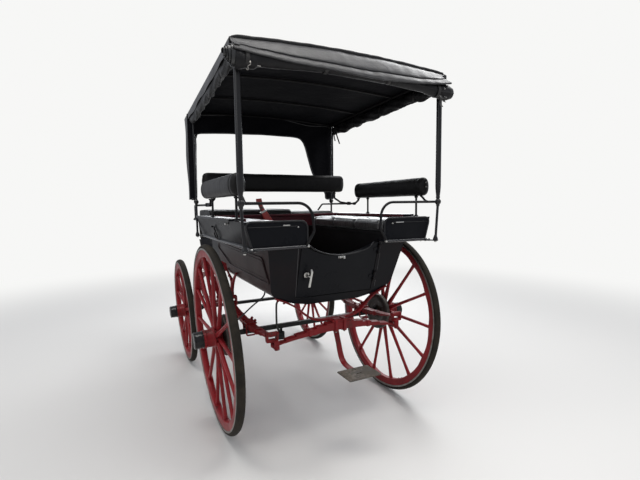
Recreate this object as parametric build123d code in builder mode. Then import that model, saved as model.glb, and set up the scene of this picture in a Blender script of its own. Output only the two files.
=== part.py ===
from build123d import *
from math import asin, atan2, cos, degrees, hypot, radians, sin, tan
import os

os.makedirs("parts", exist_ok=True)

# Four-wheeled wagonette. The front faces -Y, its left side is +X, and the wheels stand on z = 0.
# Sizes named for a place along Y are measured from the rear axle, rearward positive.
rear_axle_y = 570
wheelbase = 1313

# Wheels
rear_radius = 600
front_radius = 475
rear_track = 1340
front_track = 1320
camber = 3.0
tyre_width = 46
tyre_height = 34
tyre_crown = 26
felloe_depth = 48
felloe_width = 44
rear_spokes = 14
front_spokes = 12
spoke_root = 15
spoke_tip = 11
spoke_stagger = 7
dish = 14
nave_radius = 60
nave_inner = 45
nave_outer = 75
arm_radius = 22
arm_gap = 0.5
cap_radius = 53
cap_length = 59
cap_wall = 8
drum_radius = 132
drum_wall = 6
drum_outer = 50
drum_inner = 78
plate_offset = 84
plate_thick = 4

# Rear axle and springs
axle_size = 28
axle_rise = 6
spring_pad = 8
spring_x = 440
spring_half = 435
spring_width = 46
leaf_thick = 6
spring_leaves = 6
spring_sag = 31
eye_radius = 15
eye_bore = 7
pin_radius = 6.6
cross_y = spring_half
cross_half = 425
cross_sag = 35
cross_leaves = 6
cross_leaf = 8
cross_main_z = 676
loop_step = 53
loop_y = cross_y - loop_step
loop_width = 44
loop_thick = 13
strap_width = 40
strap_thick = 8
plate_half = 105
plate_reach = 366
plate_rear = loop_y + plate_reach
plate_z = 478

# Lower body, the tub
tub_front = -600
boot_split = -790
tub_floor = 832
tub_flat = 180
tub_bilge_x = 300
tub_bilge_z = 855
tub_chine_x = 422
tub_chine_z = 911
chine_round = 70
bilge_round = 260
tub_top_x = 470
belt_z = 1207
wall = 20
floor_top = 868
rear_foot_y = 394
rear_lean = 17.5
door_half = 265
door_gap = 5
door_thick = 22
door_sill = 884
door_top = 1199
scoop_depth = 72
scoop_margin = 27
scoop_half = door_half - scoop_margin
hinge_x = -door_half - door_gap
hinge_out = 9
hinge_heights = [978, 1158]
knuckle_radius = 7
knuckle_length = 22
hinge_pin = 3

# Upper body and seats
side_foot_x = 577
side_top_x = 621
side_top_z = 1353
panel_thick = 15
panel_front = -757
end_y = 552
end_inner = 258
cap_board = 12
seat_top = 1265
seat_inner = 262
bulkhead_y = -560
cushion_gap = 0.3
cushion_top = 1342
backrest_low = 1490
backrest_top = 1612
backrest_x = 625
backrest_thick = 84
backrest_front = -335
backrest_rear = 508
box_front = -1090
box_floor = 985
box_half = 434
driver_board_z = 1319
driver_half = 590
driver_seat_top = 1408
mate_seat_top = 1384
seat_split = -140
driver_back_y = -540
driver_back_thick = 66
driver_back_half = 605
driver_back_low = 1548
driver_back_top = 1690
footboard_front = -1560
footboard_half = 430
toe_y = -1655
toe_z = 1105
dash_y = -1735
dash_top = 1330

# Irons and canopy
rod_radius = 8
rail_x = 600
rail_z = 1446
post_rear_x = 645
post_rear_y = 598
post_front_x = 616.3
post_front_y = -775
knob_z = 1450
knob_radius = 20
sleeve_radius = 17
roof_over = 40
roof_rear = 615.4
roof_front = -945
roof_rear_z = 2237
roof_front_z = 2166
roof_camber = 27
roof_sheet = 5
roof_skirt = 10
side_flap = 62
flap_front = -765
rear_flap_y = 692
rear_flap_z = 2150
rear_flap_sag = 22
rail_radius = 9
bow_radius = 7
curtain_y = -798
curtain_thick = 8
curtain_half = 660
curtain_bottom = 1490
curtain_corner = 60
roll_half_y = 34
roll_half_z = 42
roll_z = 2121
side_roll_half = 44
side_roll_thick = 20

# Fore-carriage
ring_radius = 290
ring_width = 34
ring_thick = 11
ring_z = 934
ring_gap = 0.5
king_radius = 15
king_gap = 0.5
bed_half = 480
bed_depth = 76
bed_low = 812
bearer_x = 215
bearer_width = 50
front_spring_x = 430
front_spring_half = 430
front_leaves = 5
futchell_x = 70
futchell_width = 44
futchell_rear = -1040
futchell_front = -1880
splinter_y = -1862
splinter_half = 560
splinter_top = 838
pin_x = [-500, -150, 150, 500]
trace_pin_radius = 11
trace_pin_length = 62


def at(y):
    return rear_axle_y + y


def save(part, name):
    part.label = name
    export_step(part, "parts/" + name + ".step")


# A round iron bent through points (x, y from the rear axle, z).
def rod(points, radius, bends):
    path_points = [(x, at(y), z) for x, y, z in points]
    with BuildPart() as made:
        with BuildLine() as path:
            if len(points) > 2:
                FilletPolyline(*path_points, radius=bends)
            else:
                Line(*path_points)
        with BuildSketch(Plane(origin=path.wire() @ 0, z_dir=path.wire() % 0)):
            Circle(radius)
        sweep()
    return made.part


# Sketch planes: across looks along Y with z up, along looks along X with z up.
def across(y):
    return Plane(origin=(0, at(y), 0), x_dir=(1, 0, 0), z_dir=(0, -1, 0))


def along(x):
    return Plane(origin=(x, at(0), 0), x_dir=(0, 1, 0), z_dir=(1, 0, 0))


def hub_height(radius):
    return (radius - tyre_crown) * cos(radians(camber)) + tyre_crown


# A wheel's frame: local x runs outward along the arm and local y is up in the wheel's plane.
def wheel_frame(half_track, y, radius):
    lean = radians(camber)
    return Plane(
        origin=(half_track, at(y), hub_height(radius)),
        x_dir=(cos(lean), 0, -sin(lean)),
        z_dir=(0, -1, 0),
    )


def make_tyre(frame, radius):
    inner = radius - tyre_height
    shoulder = radius - tyre_crown + (tyre_crown**2 - (tyre_width / 2) ** 2) ** 0.5
    with BuildPart() as tyre:
        with BuildSketch(frame):
            with BuildLine():
                Polyline(
                    (tyre_width / 2, shoulder),
                    (tyre_width / 2, inner),
                    (-tyre_width / 2, inner),
                    (-tyre_width / 2, shoulder),
                )
                ThreePointArc((tyre_width / 2, shoulder), (0, radius), (-tyre_width / 2, shoulder))
            make_face()
        revolve(axis=Axis(frame.origin, frame.x_dir))
    return tyre.part


def make_spoke(frame, root, rim_in):
    start = frame.from_local_coords(Vector(root, nave_radius - 12, 0))
    end = frame.from_local_coords(Vector(0, rim_in + 8, 0))
    run = Plane(origin=start, z_dir=end - start)
    with BuildPart() as spoke:
        with BuildSketch(run):
            Circle(spoke_root)
        with BuildSketch(run.offset((end - start).length)):
            Circle(spoke_tip)
        loft()
    return spoke.part


def make_wheel(frame, radius, spokes):
    axis = Axis(frame.origin, frame.x_dir)
    rim_out = radius - tyre_height
    rim_in = rim_out - felloe_depth
    pair = [make_spoke(frame, -dish + side * spoke_stagger, rim_in) for side in (-1, 1)]
    with BuildPart() as wheel:
        with BuildSketch(frame):
            with Locations((0, (rim_out + rim_in) / 2)):
                Rectangle(felloe_width, rim_out - rim_in)
        revolve(axis=axis)
        with BuildSketch(frame):
            with BuildLine():
                Polyline(
                    (-nave_inner, 0),
                    (-nave_inner, nave_radius - 6),
                    (-dish - 26, nave_radius - 6),
                    (-dish - 20, nave_radius + 10),
                    (-dish + 20, nave_radius + 10),
                    (-dish + 28, nave_radius),
                    (nave_outer - 10, cap_radius + 2),
                    (nave_outer, cap_radius + 2),
                    (nave_outer, 0),
                    close=True,
                )
            make_face()
        revolve(axis=axis)
        for k in range(spokes):
            add(pair[k % 2].rotate(axis, 360 / spokes * (k + 0.5)))
        with BuildSketch(frame):
            with Locations(((nave_outer - nave_inner) / 2, (arm_radius + arm_gap) / 2)):
                Rectangle(nave_outer + nave_inner + 2, arm_radius + arm_gap)
        revolve(axis=axis, mode=Mode.SUBTRACT)
    return wheel.part


def make_cap(frame):
    with BuildPart() as cap:
        with BuildSketch(frame):
            with BuildLine():
                Polyline(
                    (nave_outer, cap_radius),
                    (nave_outer + cap_length - 8, cap_radius),
                    (nave_outer + cap_length, cap_radius - 7),
                    (nave_outer + cap_length, 0),
                    (nave_outer + cap_length - cap_wall, 0),
                    (nave_outer + cap_length - cap_wall, cap_radius - cap_wall),
                    (nave_outer, cap_radius - cap_wall),
                    close=True,
                )
            make_face()
        revolve(axis=Axis(frame.origin, frame.x_dir))
    return cap.part


def make_drum(frame):
    with BuildPart() as drum:
        with BuildSketch(frame):
            with BuildLine():
                Polyline(
                    (-drum_inner, drum_radius - drum_wall),
                    (-drum_inner, drum_radius),
                    (-drum_outer, drum_radius),
                    (-nave_inner, nave_radius - 10),
                    (-nave_inner, arm_radius + 8),
                    (-drum_outer - drum_wall, arm_radius + 8),
                    (-drum_outer - drum_wall, drum_radius - drum_wall),
                    close=True,
                )
            make_face()
        revolve(axis=Axis(frame.origin, frame.x_dir))
    return drum.part


wheel_table = [
    # place, half track, y, radius, spokes, braked
    ("rear", rear_track / 2, 0, rear_radius, rear_spokes, True),
    ("front", front_track / 2, -wheelbase, front_radius, front_spokes, False),
]
for place, half, y, radius, spokes, braked in wheel_table:
    frame = wheel_frame(half, y, radius)
    pieces = [
        (place + "_tyre", make_tyre(frame, radius)),
        (place + "_wheel", make_wheel(frame, radius, spokes)),
        (place + "_cap", make_cap(frame)),
    ]
    if braked:
        pieces.append(("brake_drum", make_drum(frame)))
    for name, piece in pieces:
        save(piece, name + "_left")
        save(piece.mirror(Plane.YZ), name + "_right")


def make_axle_arm(frame):
    collar = -plate_offset - plate_thick - 6
    with BuildPart() as arm:
        with BuildSketch(frame):
            with BuildLine():
                Polyline(
                    (-160, 0),
                    (-160, arm_radius + 4),
                    (collar - 16, arm_radius + 4),
                    (collar - 16, arm_radius + 14),
                    (collar, arm_radius + 14),
                    (collar, arm_radius),
                    (nave_outer + 6, arm_radius),
                    (nave_outer + 6, arm_radius + 8),
                    (nave_outer + 24, arm_radius + 8),
                    (nave_outer + 24, 0),
                    close=True,
                )
            make_face()
        revolve(axis=Axis(frame.origin, frame.x_dir))
    return arm.part


# A fixed backplate closes each drum's open side.
rear_frame = wheel_frame(rear_track / 2, 0, rear_radius)
rear_hub_z = hub_height(rear_radius)
front_hub_z = hub_height(front_radius)
with BuildPart() as backplate:
    with BuildSketch(rear_frame):
        with Locations((-plate_offset + plate_thick / 2, (drum_radius + arm_radius) / 2)):
            Rectangle(plate_thick, drum_radius - arm_radius)
        with Locations((-plate_offset - 4, (arm_radius + 44) / 2)):
            Rectangle(16, 44 - arm_radius + 2)
    revolve(axis=Axis(rear_frame.origin, rear_frame.x_dir))

with BuildPart() as rear_axle:
    with Locations((0, at(0), rear_hub_z + axle_rise)):
        Box(rear_track - 250, axle_size, axle_size)
    with Locations((spring_x, at(0), rear_hub_z + axle_rise + axle_size / 2)):
        Box(spring_width + 10, 110, spring_pad, align=(Align.CENTER, Align.CENTER, Align.MIN))
    add(make_axle_arm(rear_frame))
    add(backplate.part)
    mirror(about=Plane.YZ)
save(rear_axle.part, "rear_axle")

front_frame = wheel_frame(front_track / 2, -wheelbase, front_radius)
with BuildPart() as front_axle:
    with Locations((0, at(-wheelbase), front_hub_z + axle_rise)):
        Box(front_track - 250, axle_size, axle_size)
    with Locations((front_spring_x, at(-wheelbase), front_hub_z + axle_rise + axle_size / 2)):
        Box(spring_width + 10, 110, spring_pad, align=(Align.CENTER, Align.CENTER, Align.MIN))
    add(make_axle_arm(front_frame))
    mirror(about=Plane.YZ)
save(front_axle.part, "front_axle")


# Leaf springs: the long leaf's centre line has its middle at local (0, 0) and its ends up by the sag.
def eye_place(half, sag, thick):
    turn = (half**2 + sag**2) / (2 * sag)
    reach = asin(half / turn)
    lift = eye_radius - thick / 2
    return (half - lift * sin(reach), sag + lift * cos(reach))


def leaf_pack(half, sag, leaves, thick, bored):
    turn = (half**2 + sag**2) / (2 * sag)
    reach = degrees(asin(half / turn))
    eye = eye_place(half, sag, thick)
    with BuildSketch() as pack:
        for k in range(leaves):
            part_reach = reach * (1 - k / (leaves + 0.4))
            with BuildLine():
                CenterArc((0, turn), turn + k * thick, -90 - part_reach, 2 * part_reach)
            trace(line_width=thick + 0.04)
        for side in (1, -1):
            with Locations((side * eye[0], eye[1])):
                Circle(eye_radius)
        if bored:
            for side in (1, -1):
                with Locations((side * eye[0], eye[1])):
                    Circle(eye_bore, mode=Mode.SUBTRACT)
    return pack.sketch


rear_axle_top = rear_hub_z + axle_rise + axle_size / 2 + spring_pad
side_main_z = rear_axle_top + spring_leaves * leaf_thick - leaf_thick / 2 + 0.05
side_eye = eye_place(spring_half, spring_sag, leaf_thick)
side_eye_z = side_main_z + side_eye[1]
cross_eye = eye_place(cross_half, cross_sag, cross_leaf)
cross_eye_z = cross_main_z - cross_eye[1]
cross_top = cross_main_z + cross_leaves * cross_leaf - cross_leaf / 2
side_pack = leaf_pack(spring_half, spring_sag, spring_leaves, leaf_thick, True)
with BuildPart() as side_springs:
    with BuildSketch(Plane(origin=(spring_x, at(0), side_main_z), x_dir=(0, 1, 0), z_dir=(1, 0, 0))):
        add(side_pack)
    extrude(amount=spring_width / 2, both=True)
    with Locations((spring_x, at(0), rear_axle_top + spring_leaves * leaf_thick + 4)):
        Box(spring_width + 24, 110, 9)
    mirror(about=Plane.YZ)
save(side_springs.part, "side_springs")

cross_pack = leaf_pack(cross_half, cross_sag, cross_leaves, cross_leaf, True)
with BuildPart() as cross_spring:
    with BuildSketch(Plane(origin=(0, at(cross_y), cross_main_z), x_dir=(1, 0, 0), z_dir=(0, 1, 0))):
        add(cross_pack)
    extrude(amount=spring_width / 2, both=True)
save(cross_spring.part, "cross_spring")


# Lower body. The filled shape is kept so that the irons under it can be trimmed to its surface.
rear_plane = Plane(
    origin=(0, at(rear_foot_y), tub_chine_z),
    x_dir=(-1, 0, 0),
    z_dir=(0, cos(radians(rear_lean)), -sin(radians(rear_lean))),
)
slope = cos(radians(rear_lean))


def up_panel(z):
    return (z - tub_chine_z) / slope


# A plane square to the door's hinge axis, a way up or down from the middle of one hinge.
def hinge_plane(z, step):
    middle = rear_plane.offset(hinge_out).from_local_coords(Vector(-hinge_x, up_panel(z) + step, 0))
    return Plane(origin=middle, x_dir=(1, 0, 0), z_dir=rear_plane.y_dir)


tub_rear_max = rear_foot_y + (belt_z - tub_chine_z) * tan(radians(rear_lean)) + 30
with BuildPart() as tub_solid:
    with BuildSketch(across(tub_rear_max)):
        with BuildLine():
            Polyline(
                (-tub_top_x, belt_z),
                (-tub_chine_x, tub_chine_z),
                (-tub_bilge_x, tub_bilge_z),
                (-tub_flat, tub_floor),
                (tub_flat, tub_floor),
                (tub_bilge_x, tub_bilge_z),
                (tub_chine_x, tub_chine_z),
                (tub_top_x, belt_z),
                close=True,
            )
        make_face()
        fillet(vertices().group_by(Axis.Y)[2], chine_round)
        fillet(vertices().group_by(Axis.Y)[1], bilge_round)
    extrude(amount=tub_rear_max - boot_split)
    with BuildSketch(rear_plane):
        Rectangle(4000, 4000)
    extrude(amount=2000, mode=Mode.SUBTRACT)
    with Locations((0, at(tub_front), box_floor)):
        Box(1200, 600, 400, align=(Align.CENTER, Align.MAX, Align.MAX), mode=Mode.SUBTRACT)

with BuildPart() as tub_room:
    with BuildSketch(across(tub_rear_max)):
        with BuildLine():
            Polyline(
                (-tub_top_x + wall, belt_z + 1),
                (-tub_chine_x + wall, tub_chine_z + 6),
                (-tub_bilge_x, floor_top),
                (tub_bilge_x, floor_top),
                (tub_chine_x - wall, tub_chine_z + 6),
                (tub_top_x - wall, belt_z + 1),
                close=True,
            )
        make_face()
    extrude(amount=tub_rear_max - boot_split - wall)
    with BuildSketch(rear_plane.offset(-wall)):
        Rectangle(4000, 4000)
    extrude(amount=2000, mode=Mode.SUBTRACT)
    with Locations((0, at(tub_front + wall), box_floor + wall)):
        Box(1200, 600, 400, align=(Align.CENTER, Align.MAX, Align.MAX), mode=Mode.SUBTRACT)

with BuildPart() as tub:
    add(tub_solid.part)
    add(tub_room.part, mode=Mode.SUBTRACT)
    with BuildSketch(rear_plane):
        with Locations((0, up_panel(door_sill) - door_gap + 250)):
            Rectangle(2 * (door_half + door_gap), 500)
    extrude(amount=40, both=True, mode=Mode.SUBTRACT)
    for z in hinge_heights:
        with BuildSketch(rear_plane.offset(-0.5)):
            with Locations((-hinge_x + 20, up_panel(z))):
                Rectangle(18, 3 * knuckle_length)
            for step in (-1, 1):
                with Locations((-hinge_x + 10, up_panel(z) + step * knuckle_length)):
                    Rectangle(20, knuckle_length - 1)
        extrude(amount=4.5)
        for step in (-1, 1):
            with BuildSketch(hinge_plane(z, step * knuckle_length)):
                Circle(knuckle_radius)
            extrude(amount=(knuckle_length - 1) / 2, both=True)
        with BuildSketch(hinge_plane(z, 0)):
            Circle(hinge_pin)
        extrude(amount=knuckle_length, both=True)
save(tub.part, "tub")

with BuildPart() as rear_door:
    with BuildSketch(rear_plane):
        with BuildLine():
            Polyline(
                (-scoop_half, up_panel(door_top)),
                (-door_half, up_panel(door_top)),
                (-door_half, up_panel(door_sill)),
                (door_half, up_panel(door_sill)),
                (door_half, up_panel(door_top)),
                (scoop_half, up_panel(door_top)),
            )
            ThreePointArc(
                (scoop_half, up_panel(door_top)),
                (0, up_panel(door_top) - scoop_depth),
                (-scoop_half, up_panel(door_top)),
            )
        make_face()
    extrude(amount=-door_thick)
    for z in hinge_heights:
        with BuildSketch(rear_plane.offset(-0.5)):
            with Locations((-hinge_x - 17, up_panel(z))):
                Rectangle(33, knuckle_length - 1)
        extrude(amount=4.5)
        with BuildSketch(hinge_plane(z, 0)):
            Circle(knuckle_radius)
        extrude(amount=(knuckle_length - 1) / 2, both=True)
    for z in hinge_heights:
        with BuildSketch(hinge_plane(z, 0)):
            Circle(hinge_pin + 0.5)
        extrude(amount=knuckle_length, both=True, mode=Mode.SUBTRACT)
save(rear_door.part, "rear_door")

# The lever handle hangs from a stem on a round rose. Its local x is negative on the vehicle's left.
handle_inset = 48
handle_x = door_half - handle_inset
handle_z = 1030
stem_length = 36
with BuildPart() as door_handle:
    with BuildSketch(rear_plane):
        with Locations((-handle_x, up_panel(handle_z))):
            Circle(17)
    extrude(amount=8)
    with BuildSketch(rear_plane.offset(8)):
        with Locations((-handle_x, up_panel(handle_z))):
            Circle(8)
    extrude(amount=stem_length - 8)
    with BuildSketch(rear_plane.offset(stem_length - 5)):
        with BuildLine():
            Line(
                (-handle_x + 1, up_panel(handle_z + 18)),
                (-handle_x + 10, up_panel(handle_z - 84)),
            )
        trace(line_width=16)
    extrude(amount=11)
save(door_handle.part, "door_handle")

# Seat boxes: a soffit on the tub's top edge and a side leaning out, capped by a board.
rise = belt_z + 12
lean_rate = (side_top_x - side_foot_x) / (side_top_z - belt_z)


def panel_inner(z):
    return side_foot_x - panel_thick + 1 + (z - belt_z) * lean_rate


with BuildPart() as side_panels:
    with BuildSketch(across(end_y - panel_thick)):
        with BuildLine():
            Polyline(
                (tub_top_x - wall, belt_z),
                (side_foot_x, belt_z),
                (side_top_x, side_top_z),
                (panel_inner(side_top_z), side_top_z),
                (panel_inner(rise), rise),
                (tub_top_x - wall, rise),
                close=True,
            )
        make_face()
    extrude(amount=end_y - panel_thick - panel_front)
    with BuildSketch(across(360)):
        with Locations((605, side_top_z + cap_board / 2)):
            RectangleRounded(90, cap_board, 4)
    extrude(amount=980)
    with BuildSketch(across(400)):
        with Locations((side_foot_x + 1, belt_z + 9)):
            Circle(8)
    extrude(amount=1100)
    mirror(about=Plane.YZ)
save(side_panels.part, "side_panels")

with BuildPart() as end_panels:
    with BuildSketch(across(end_y)):
        with BuildLine():
            Polyline(
                (end_inner, belt_z),
                (side_foot_x, belt_z),
                (side_top_x, side_top_z),
                (end_inner, side_top_z),
                close=True,
            )
        make_face()
        fillet(vertices().group_by(Axis.Y)[-1].sort_by(Axis.X)[0], 55)
    extrude(amount=panel_thick)
    with Locations((door_half + door_gap + 2, at(464), belt_z)):
        Box(
            tub_top_x - wall - 2.3 - door_half - door_gap,
            end_y - panel_thick - 464,
            rise - belt_z,
            align=(Align.MIN, Align.MIN, Align.MIN),
        )
    mirror(about=Plane.YZ)
save(end_panels.part, "end_panels")

bench_end = end_y - panel_thick
riser_top = seat_top - 18
with BuildPart() as benches:
    with BuildSketch(along(seat_inner + 10)):
        with BuildLine():
            Polyline(
                (bulkhead_y, floor_top),
                (352, floor_top),
                (458, belt_z - 1),
                (458, rise + 0.3),
                (bench_end, rise + 0.3),
                (bench_end, riser_top),
                (bulkhead_y, riser_top),
                close=True,
            )
        make_face()
    extrude(amount=15)
    with Locations((seat_inner, at(bulkhead_y), riser_top)):
        Box(
            panel_inner(riser_top) - seat_inner - 1,
            bench_end - bulkhead_y,
            18,
            align=(Align.MIN, Align.MIN, Align.MIN),
        )
    with Locations((500, at(bulkhead_y), rise)):
        Box(30, bench_end - bulkhead_y, riser_top - rise, align=(Align.MIN, Align.MIN, Align.MIN))
    mirror(about=Plane.YZ)
save(benches.part, "benches")

with BuildPart() as bench_cushions:
    with BuildSketch(across(bench_end - 7)):
        with BuildLine():
            Polyline(
                (seat_inner - 2, seat_top + cushion_gap),
                (panel_inner(seat_top) - 3, seat_top + cushion_gap),
                (panel_inner(cushion_top) - 3, cushion_top),
                (seat_inner - 2, cushion_top),
                close=True,
            )
        make_face()
        fillet(vertices(), 16)
    extrude(amount=bench_end - 7 + 480)
    mirror(about=Plane.YZ)
save(bench_cushions.part, "bench_cushions")

with BuildPart() as bench_backrests:
    with Locations((backrest_x, at((backrest_front + backrest_rear) / 2), (backrest_low + backrest_top) / 2)):
        Box(backrest_thick, backrest_rear - backrest_front, backrest_top - backrest_low)
    fillet(edges().filter_by(Axis.X), 40)
    fillet(edges().filter_by(Axis.Y), 18)
    mirror(about=Plane.YZ)
save(bench_backrests.part, "bench_backrests")

with BuildPart() as bulkhead:
    with BuildSketch(across(bulkhead_y)):
        with BuildLine():
            Polyline(
                (-tub_bilge_x + 2, floor_top),
                (tub_bilge_x - 2, floor_top),
                (tub_chine_x - wall - 2, tub_chine_z + 6),
                (tub_top_x - wall - 1, belt_z),
                (tub_top_x - wall - 1, rise + 0.3),
                (panel_inner(rise) - 1, rise + 0.3),
                (panel_inner(side_top_z) - 1, side_top_z),
                (-panel_inner(side_top_z) + 1, side_top_z),
                (-panel_inner(rise) + 1, rise + 0.3),
                (-tub_top_x + wall + 1, rise + 0.3),
                (-tub_top_x + wall + 1, belt_z),
                (-tub_chine_x + wall + 2, tub_chine_z + 6),
                close=True,
            )
        make_face()
    extrude(amount=16)
save(bulkhead.part, "bulkhead")

# Driver's box: the boot under the footboard's root and the seat box over it.
seat_back = bulkhead_y - 18
box_wall = 15
with BuildPart() as driver_box:
    with Locations((0, at(boot_split), box_floor)):
        Box(
            2 * box_half,
            boot_split - box_front,
            belt_z - box_floor,
            align=(Align.CENTER, Align.MAX, Align.MIN),
        )
    with Locations((0, at(seat_back), belt_z)):
        Box(
            2 * (tub_top_x - wall - 2),
            seat_back - box_front,
            driver_board_z - belt_z,
            align=(Align.CENTER, Align.MAX, Align.MIN),
        )
    with Locations((0, at(boot_split), box_floor + box_wall)):
        Box(
            2 * (box_half - box_wall),
            boot_split - box_front - box_wall,
            belt_z - box_floor,
            align=(Align.CENTER, Align.MAX, Align.MIN),
            mode=Mode.SUBTRACT,
        )
    with Locations((0, at(seat_back - box_wall), belt_z - 1)):
        Box(
            2 * (box_half - box_wall),
            seat_back - box_front - 2 * box_wall,
            driver_board_z - belt_z + 2,
            align=(Align.CENTER, Align.MAX, Align.MIN),
            mode=Mode.SUBTRACT,
        )
    with Locations((0, at(seat_back), driver_board_z)):
        Box(2 * driver_half, seat_back - box_front, 12, align=(Align.CENTER, Align.MAX, Align.MIN))
    fillet(edges().filter_by(Axis.Z).group_by(Axis.Z)[-1].sort_by(Axis.Y)[0:2], 40)
save(driver_box.part, "driver_box")

board_top = driver_board_z + 12 + cushion_gap
cushion_table = [
    # inner x, outer x, top
    (seat_split, driver_half - 42, driver_seat_top),
    (seat_split - 6, -driver_half + 42, mate_seat_top),
]
with BuildPart() as driver_cushions:
    for near_x, far_x, top in cushion_table:
        with Locations(((near_x + far_x) / 2, at((seat_back + box_front) / 2 + 10), board_top)):
            Box(
                abs(far_x - near_x),
                seat_back - box_front - 60,
                top - board_top,
                align=(Align.CENTER, Align.CENTER, Align.MIN),
            )
    fillet(edges(), 16)
save(driver_cushions.part, "driver_cushions")

with BuildPart() as driver_backrest:
    with Locations((0, at(driver_back_y), (driver_back_low + driver_back_top) / 2)):
        Box(2 * driver_back_half, driver_back_thick, driver_back_top - driver_back_low)
    fillet(edges().filter_by(Axis.Y), 50)
    fillet(edges().filter_by(Axis.X), 18)
save(driver_backrest.part, "driver_backrest")

with BuildPart() as footboard:
    with BuildSketch(along(0)):
        with BuildLine():
            FilletPolyline(
                (box_front, box_floor + 10),
                (footboard_front, box_floor + 10),
                (toe_y, toe_z),
                radius=60,
            )
        trace(line_width=20)
    extrude(amount=footboard_half, both=True)
save(footboard.part, "footboard")

dash_run = Plane(
    origin=(0, at(toe_y), toe_z),
    x_dir=(1, 0, 0),
    z_dir=(0, -(dash_top - toe_z), dash_y - toe_y),
)
dash_height = hypot(dash_top - toe_z, dash_y - toe_y)
with BuildPart() as dash:
    with BuildSketch(dash_run):
        with Locations((0, dash_height / 2 + 4)):
            Rectangle(2 * footboard_half, dash_height)
        fillet(vertices().group_by(Axis.Y)[-1], 60)
    extrude(amount=8, both=True)
save(dash.part, "dash")


# Bent irons of the seats: hoops behind, rails beside the driver, stays under the backrests.
hoop_y = end_y + rod_radius + 0.3
stay_x = backrest_x - 6
with BuildPart() as seat_irons:
    add(
        rod(
            [
                (post_rear_x - knob_radius - 0.3, post_rear_y, rail_z + 3),
                (post_rear_x - knob_radius - 16, post_rear_y, rail_z + 3),
                (post_rear_x - 78, hoop_y, rail_z + 3),
                (236, hoop_y, rail_z + 3),
                (222, hoop_y, 1290),
                (270, hoop_y, 1216),
            ],
            rod_radius,
            [10, 14, 90, 40],
        )
    )
    add(
        rod(
            [
                (driver_half - rod_radius, box_front + 60, driver_board_z + 12.3),
                (driver_half - rod_radius, box_front + 60, driver_board_z + 40),
                (rail_x, -930, rail_z),
                (rail_x, -330, rail_z),
                (rail_x + 6, -285, backrest_low - 18),
                (rail_x + 6, -285, backrest_low - 0.3),
            ],
            rod_radius,
            [30, 60, 40, 8],
        )
    )
    add(
        rod(
            [
                (rail_x, -430, rail_z),
                (rail_x - 40, -505, rail_z + 14),
                (driver_back_half - 85, driver_back_y, rail_z + 50),
                (driver_back_half - 85, driver_back_y, driver_back_low - 0.3),
            ],
            rod_radius,
            [20, 20],
        )
    )
    for stay_y in (-165, 420):
        top_y = stay_y
        foot_z = side_top_z + cap_board if stay_y < 355 else side_top_z
        add(rod([(stay_x, top_y, foot_z), (stay_x, top_y, backrest_low)], rod_radius - 1, 0))
    mirror(about=Plane.YZ)
save(seat_irons.part, "seat_irons")


# Canopy heights: the roof falls toward the front, and its frame runs under it.
def roof_edge(y):
    return roof_front_z + (roof_rear_z - roof_front_z) * (y - roof_front) / (roof_rear - roof_front)


def frame_z(y):
    return roof_edge(y) - roof_sheet - rail_radius + 2.5


# Half widths follow the posts, which stand closer together at the front.
def frame_half(y):
    return post_front_x + (post_rear_x - post_front_x) * (y - post_front_y) / (post_rear_y - post_front_y)


def roof_half(y):
    return frame_half(y) + roof_over


def roof_bow(y):
    with BuildPart() as bow:
        with BuildLine() as arch:
            ThreePointArc(
                (-frame_half(y), at(y), frame_z(y)),
                (0, at(y), frame_z(y) + roof_camber - 1.5),
                (frame_half(y), at(y), frame_z(y)),
            )
        with BuildSketch(Plane(origin=arch.wire() @ 0, z_dir=arch.wire() % 0)):
            Circle(bow_radius)
        sweep()
    return bow.part


post_table = [
    # x, y, lean of the foot inward, lean of the foot forward, radius above the knob, knob height, top gap
    (post_rear_x, post_rear_y, 14, 3, sleeve_radius, knob_z, rail_radius + 1),
    (post_front_x, post_front_y, 0, 0, rod_radius, knob_z + 26, rail_radius + 0.6),
]
with BuildPart() as canopy_posts:
    for x, y, lean_x, lean_y, sleeve, ball_z, top_gap in post_table:
        top = frame_z(y) - top_gap
        foot_z = belt_z - 8
        add(rod([(x - lean_x, y - lean_y, foot_z + 3), (x, y, ball_z)], rod_radius, 0))
        with Locations((x, at(y), ball_z)):
            Sphere(knob_radius)
            Cylinder(sleeve, top - ball_z, align=(Align.CENTER, Align.CENTER, Align.MIN))
        edge = end_y if y > 0 else panel_front
        inward = -1 if y > 0 else 1
        with BuildSketch(Plane.XY.offset(foot_z)):
            with BuildLine():
                Polyline(
                    (side_foot_x - 45, at(edge + inward * 8)),
                    (side_foot_x - 4, at(edge + inward * 60)),
                    (x - lean_x + 14, at(y - inward * 4)),
                    (x - lean_x + 8, at(y - inward * 16)),
                    (x - lean_x - 8, at(y - inward * 16)),
                    close=True,
                )
            make_face()
        extrude(amount=8)
    mirror(about=Plane.YZ)
save(canopy_posts.part, "canopy_posts")

with BuildPart() as canopy_frame:
    for side in (1, -1):
        add(
            rod(
                [
                    (side * frame_half(roof_rear - 9), roof_rear - 9, frame_z(roof_rear - 9)),
                    (side * frame_half(roof_front + 12), roof_front + 12, frame_z(roof_front + 12)),
                ],
                rail_radius,
                0,
            )
        )
    for bow_y in (post_rear_y, 130, -330, post_front_y):
        add(roof_bow(bow_y))
save(canopy_frame.part, "canopy_frame")

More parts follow.
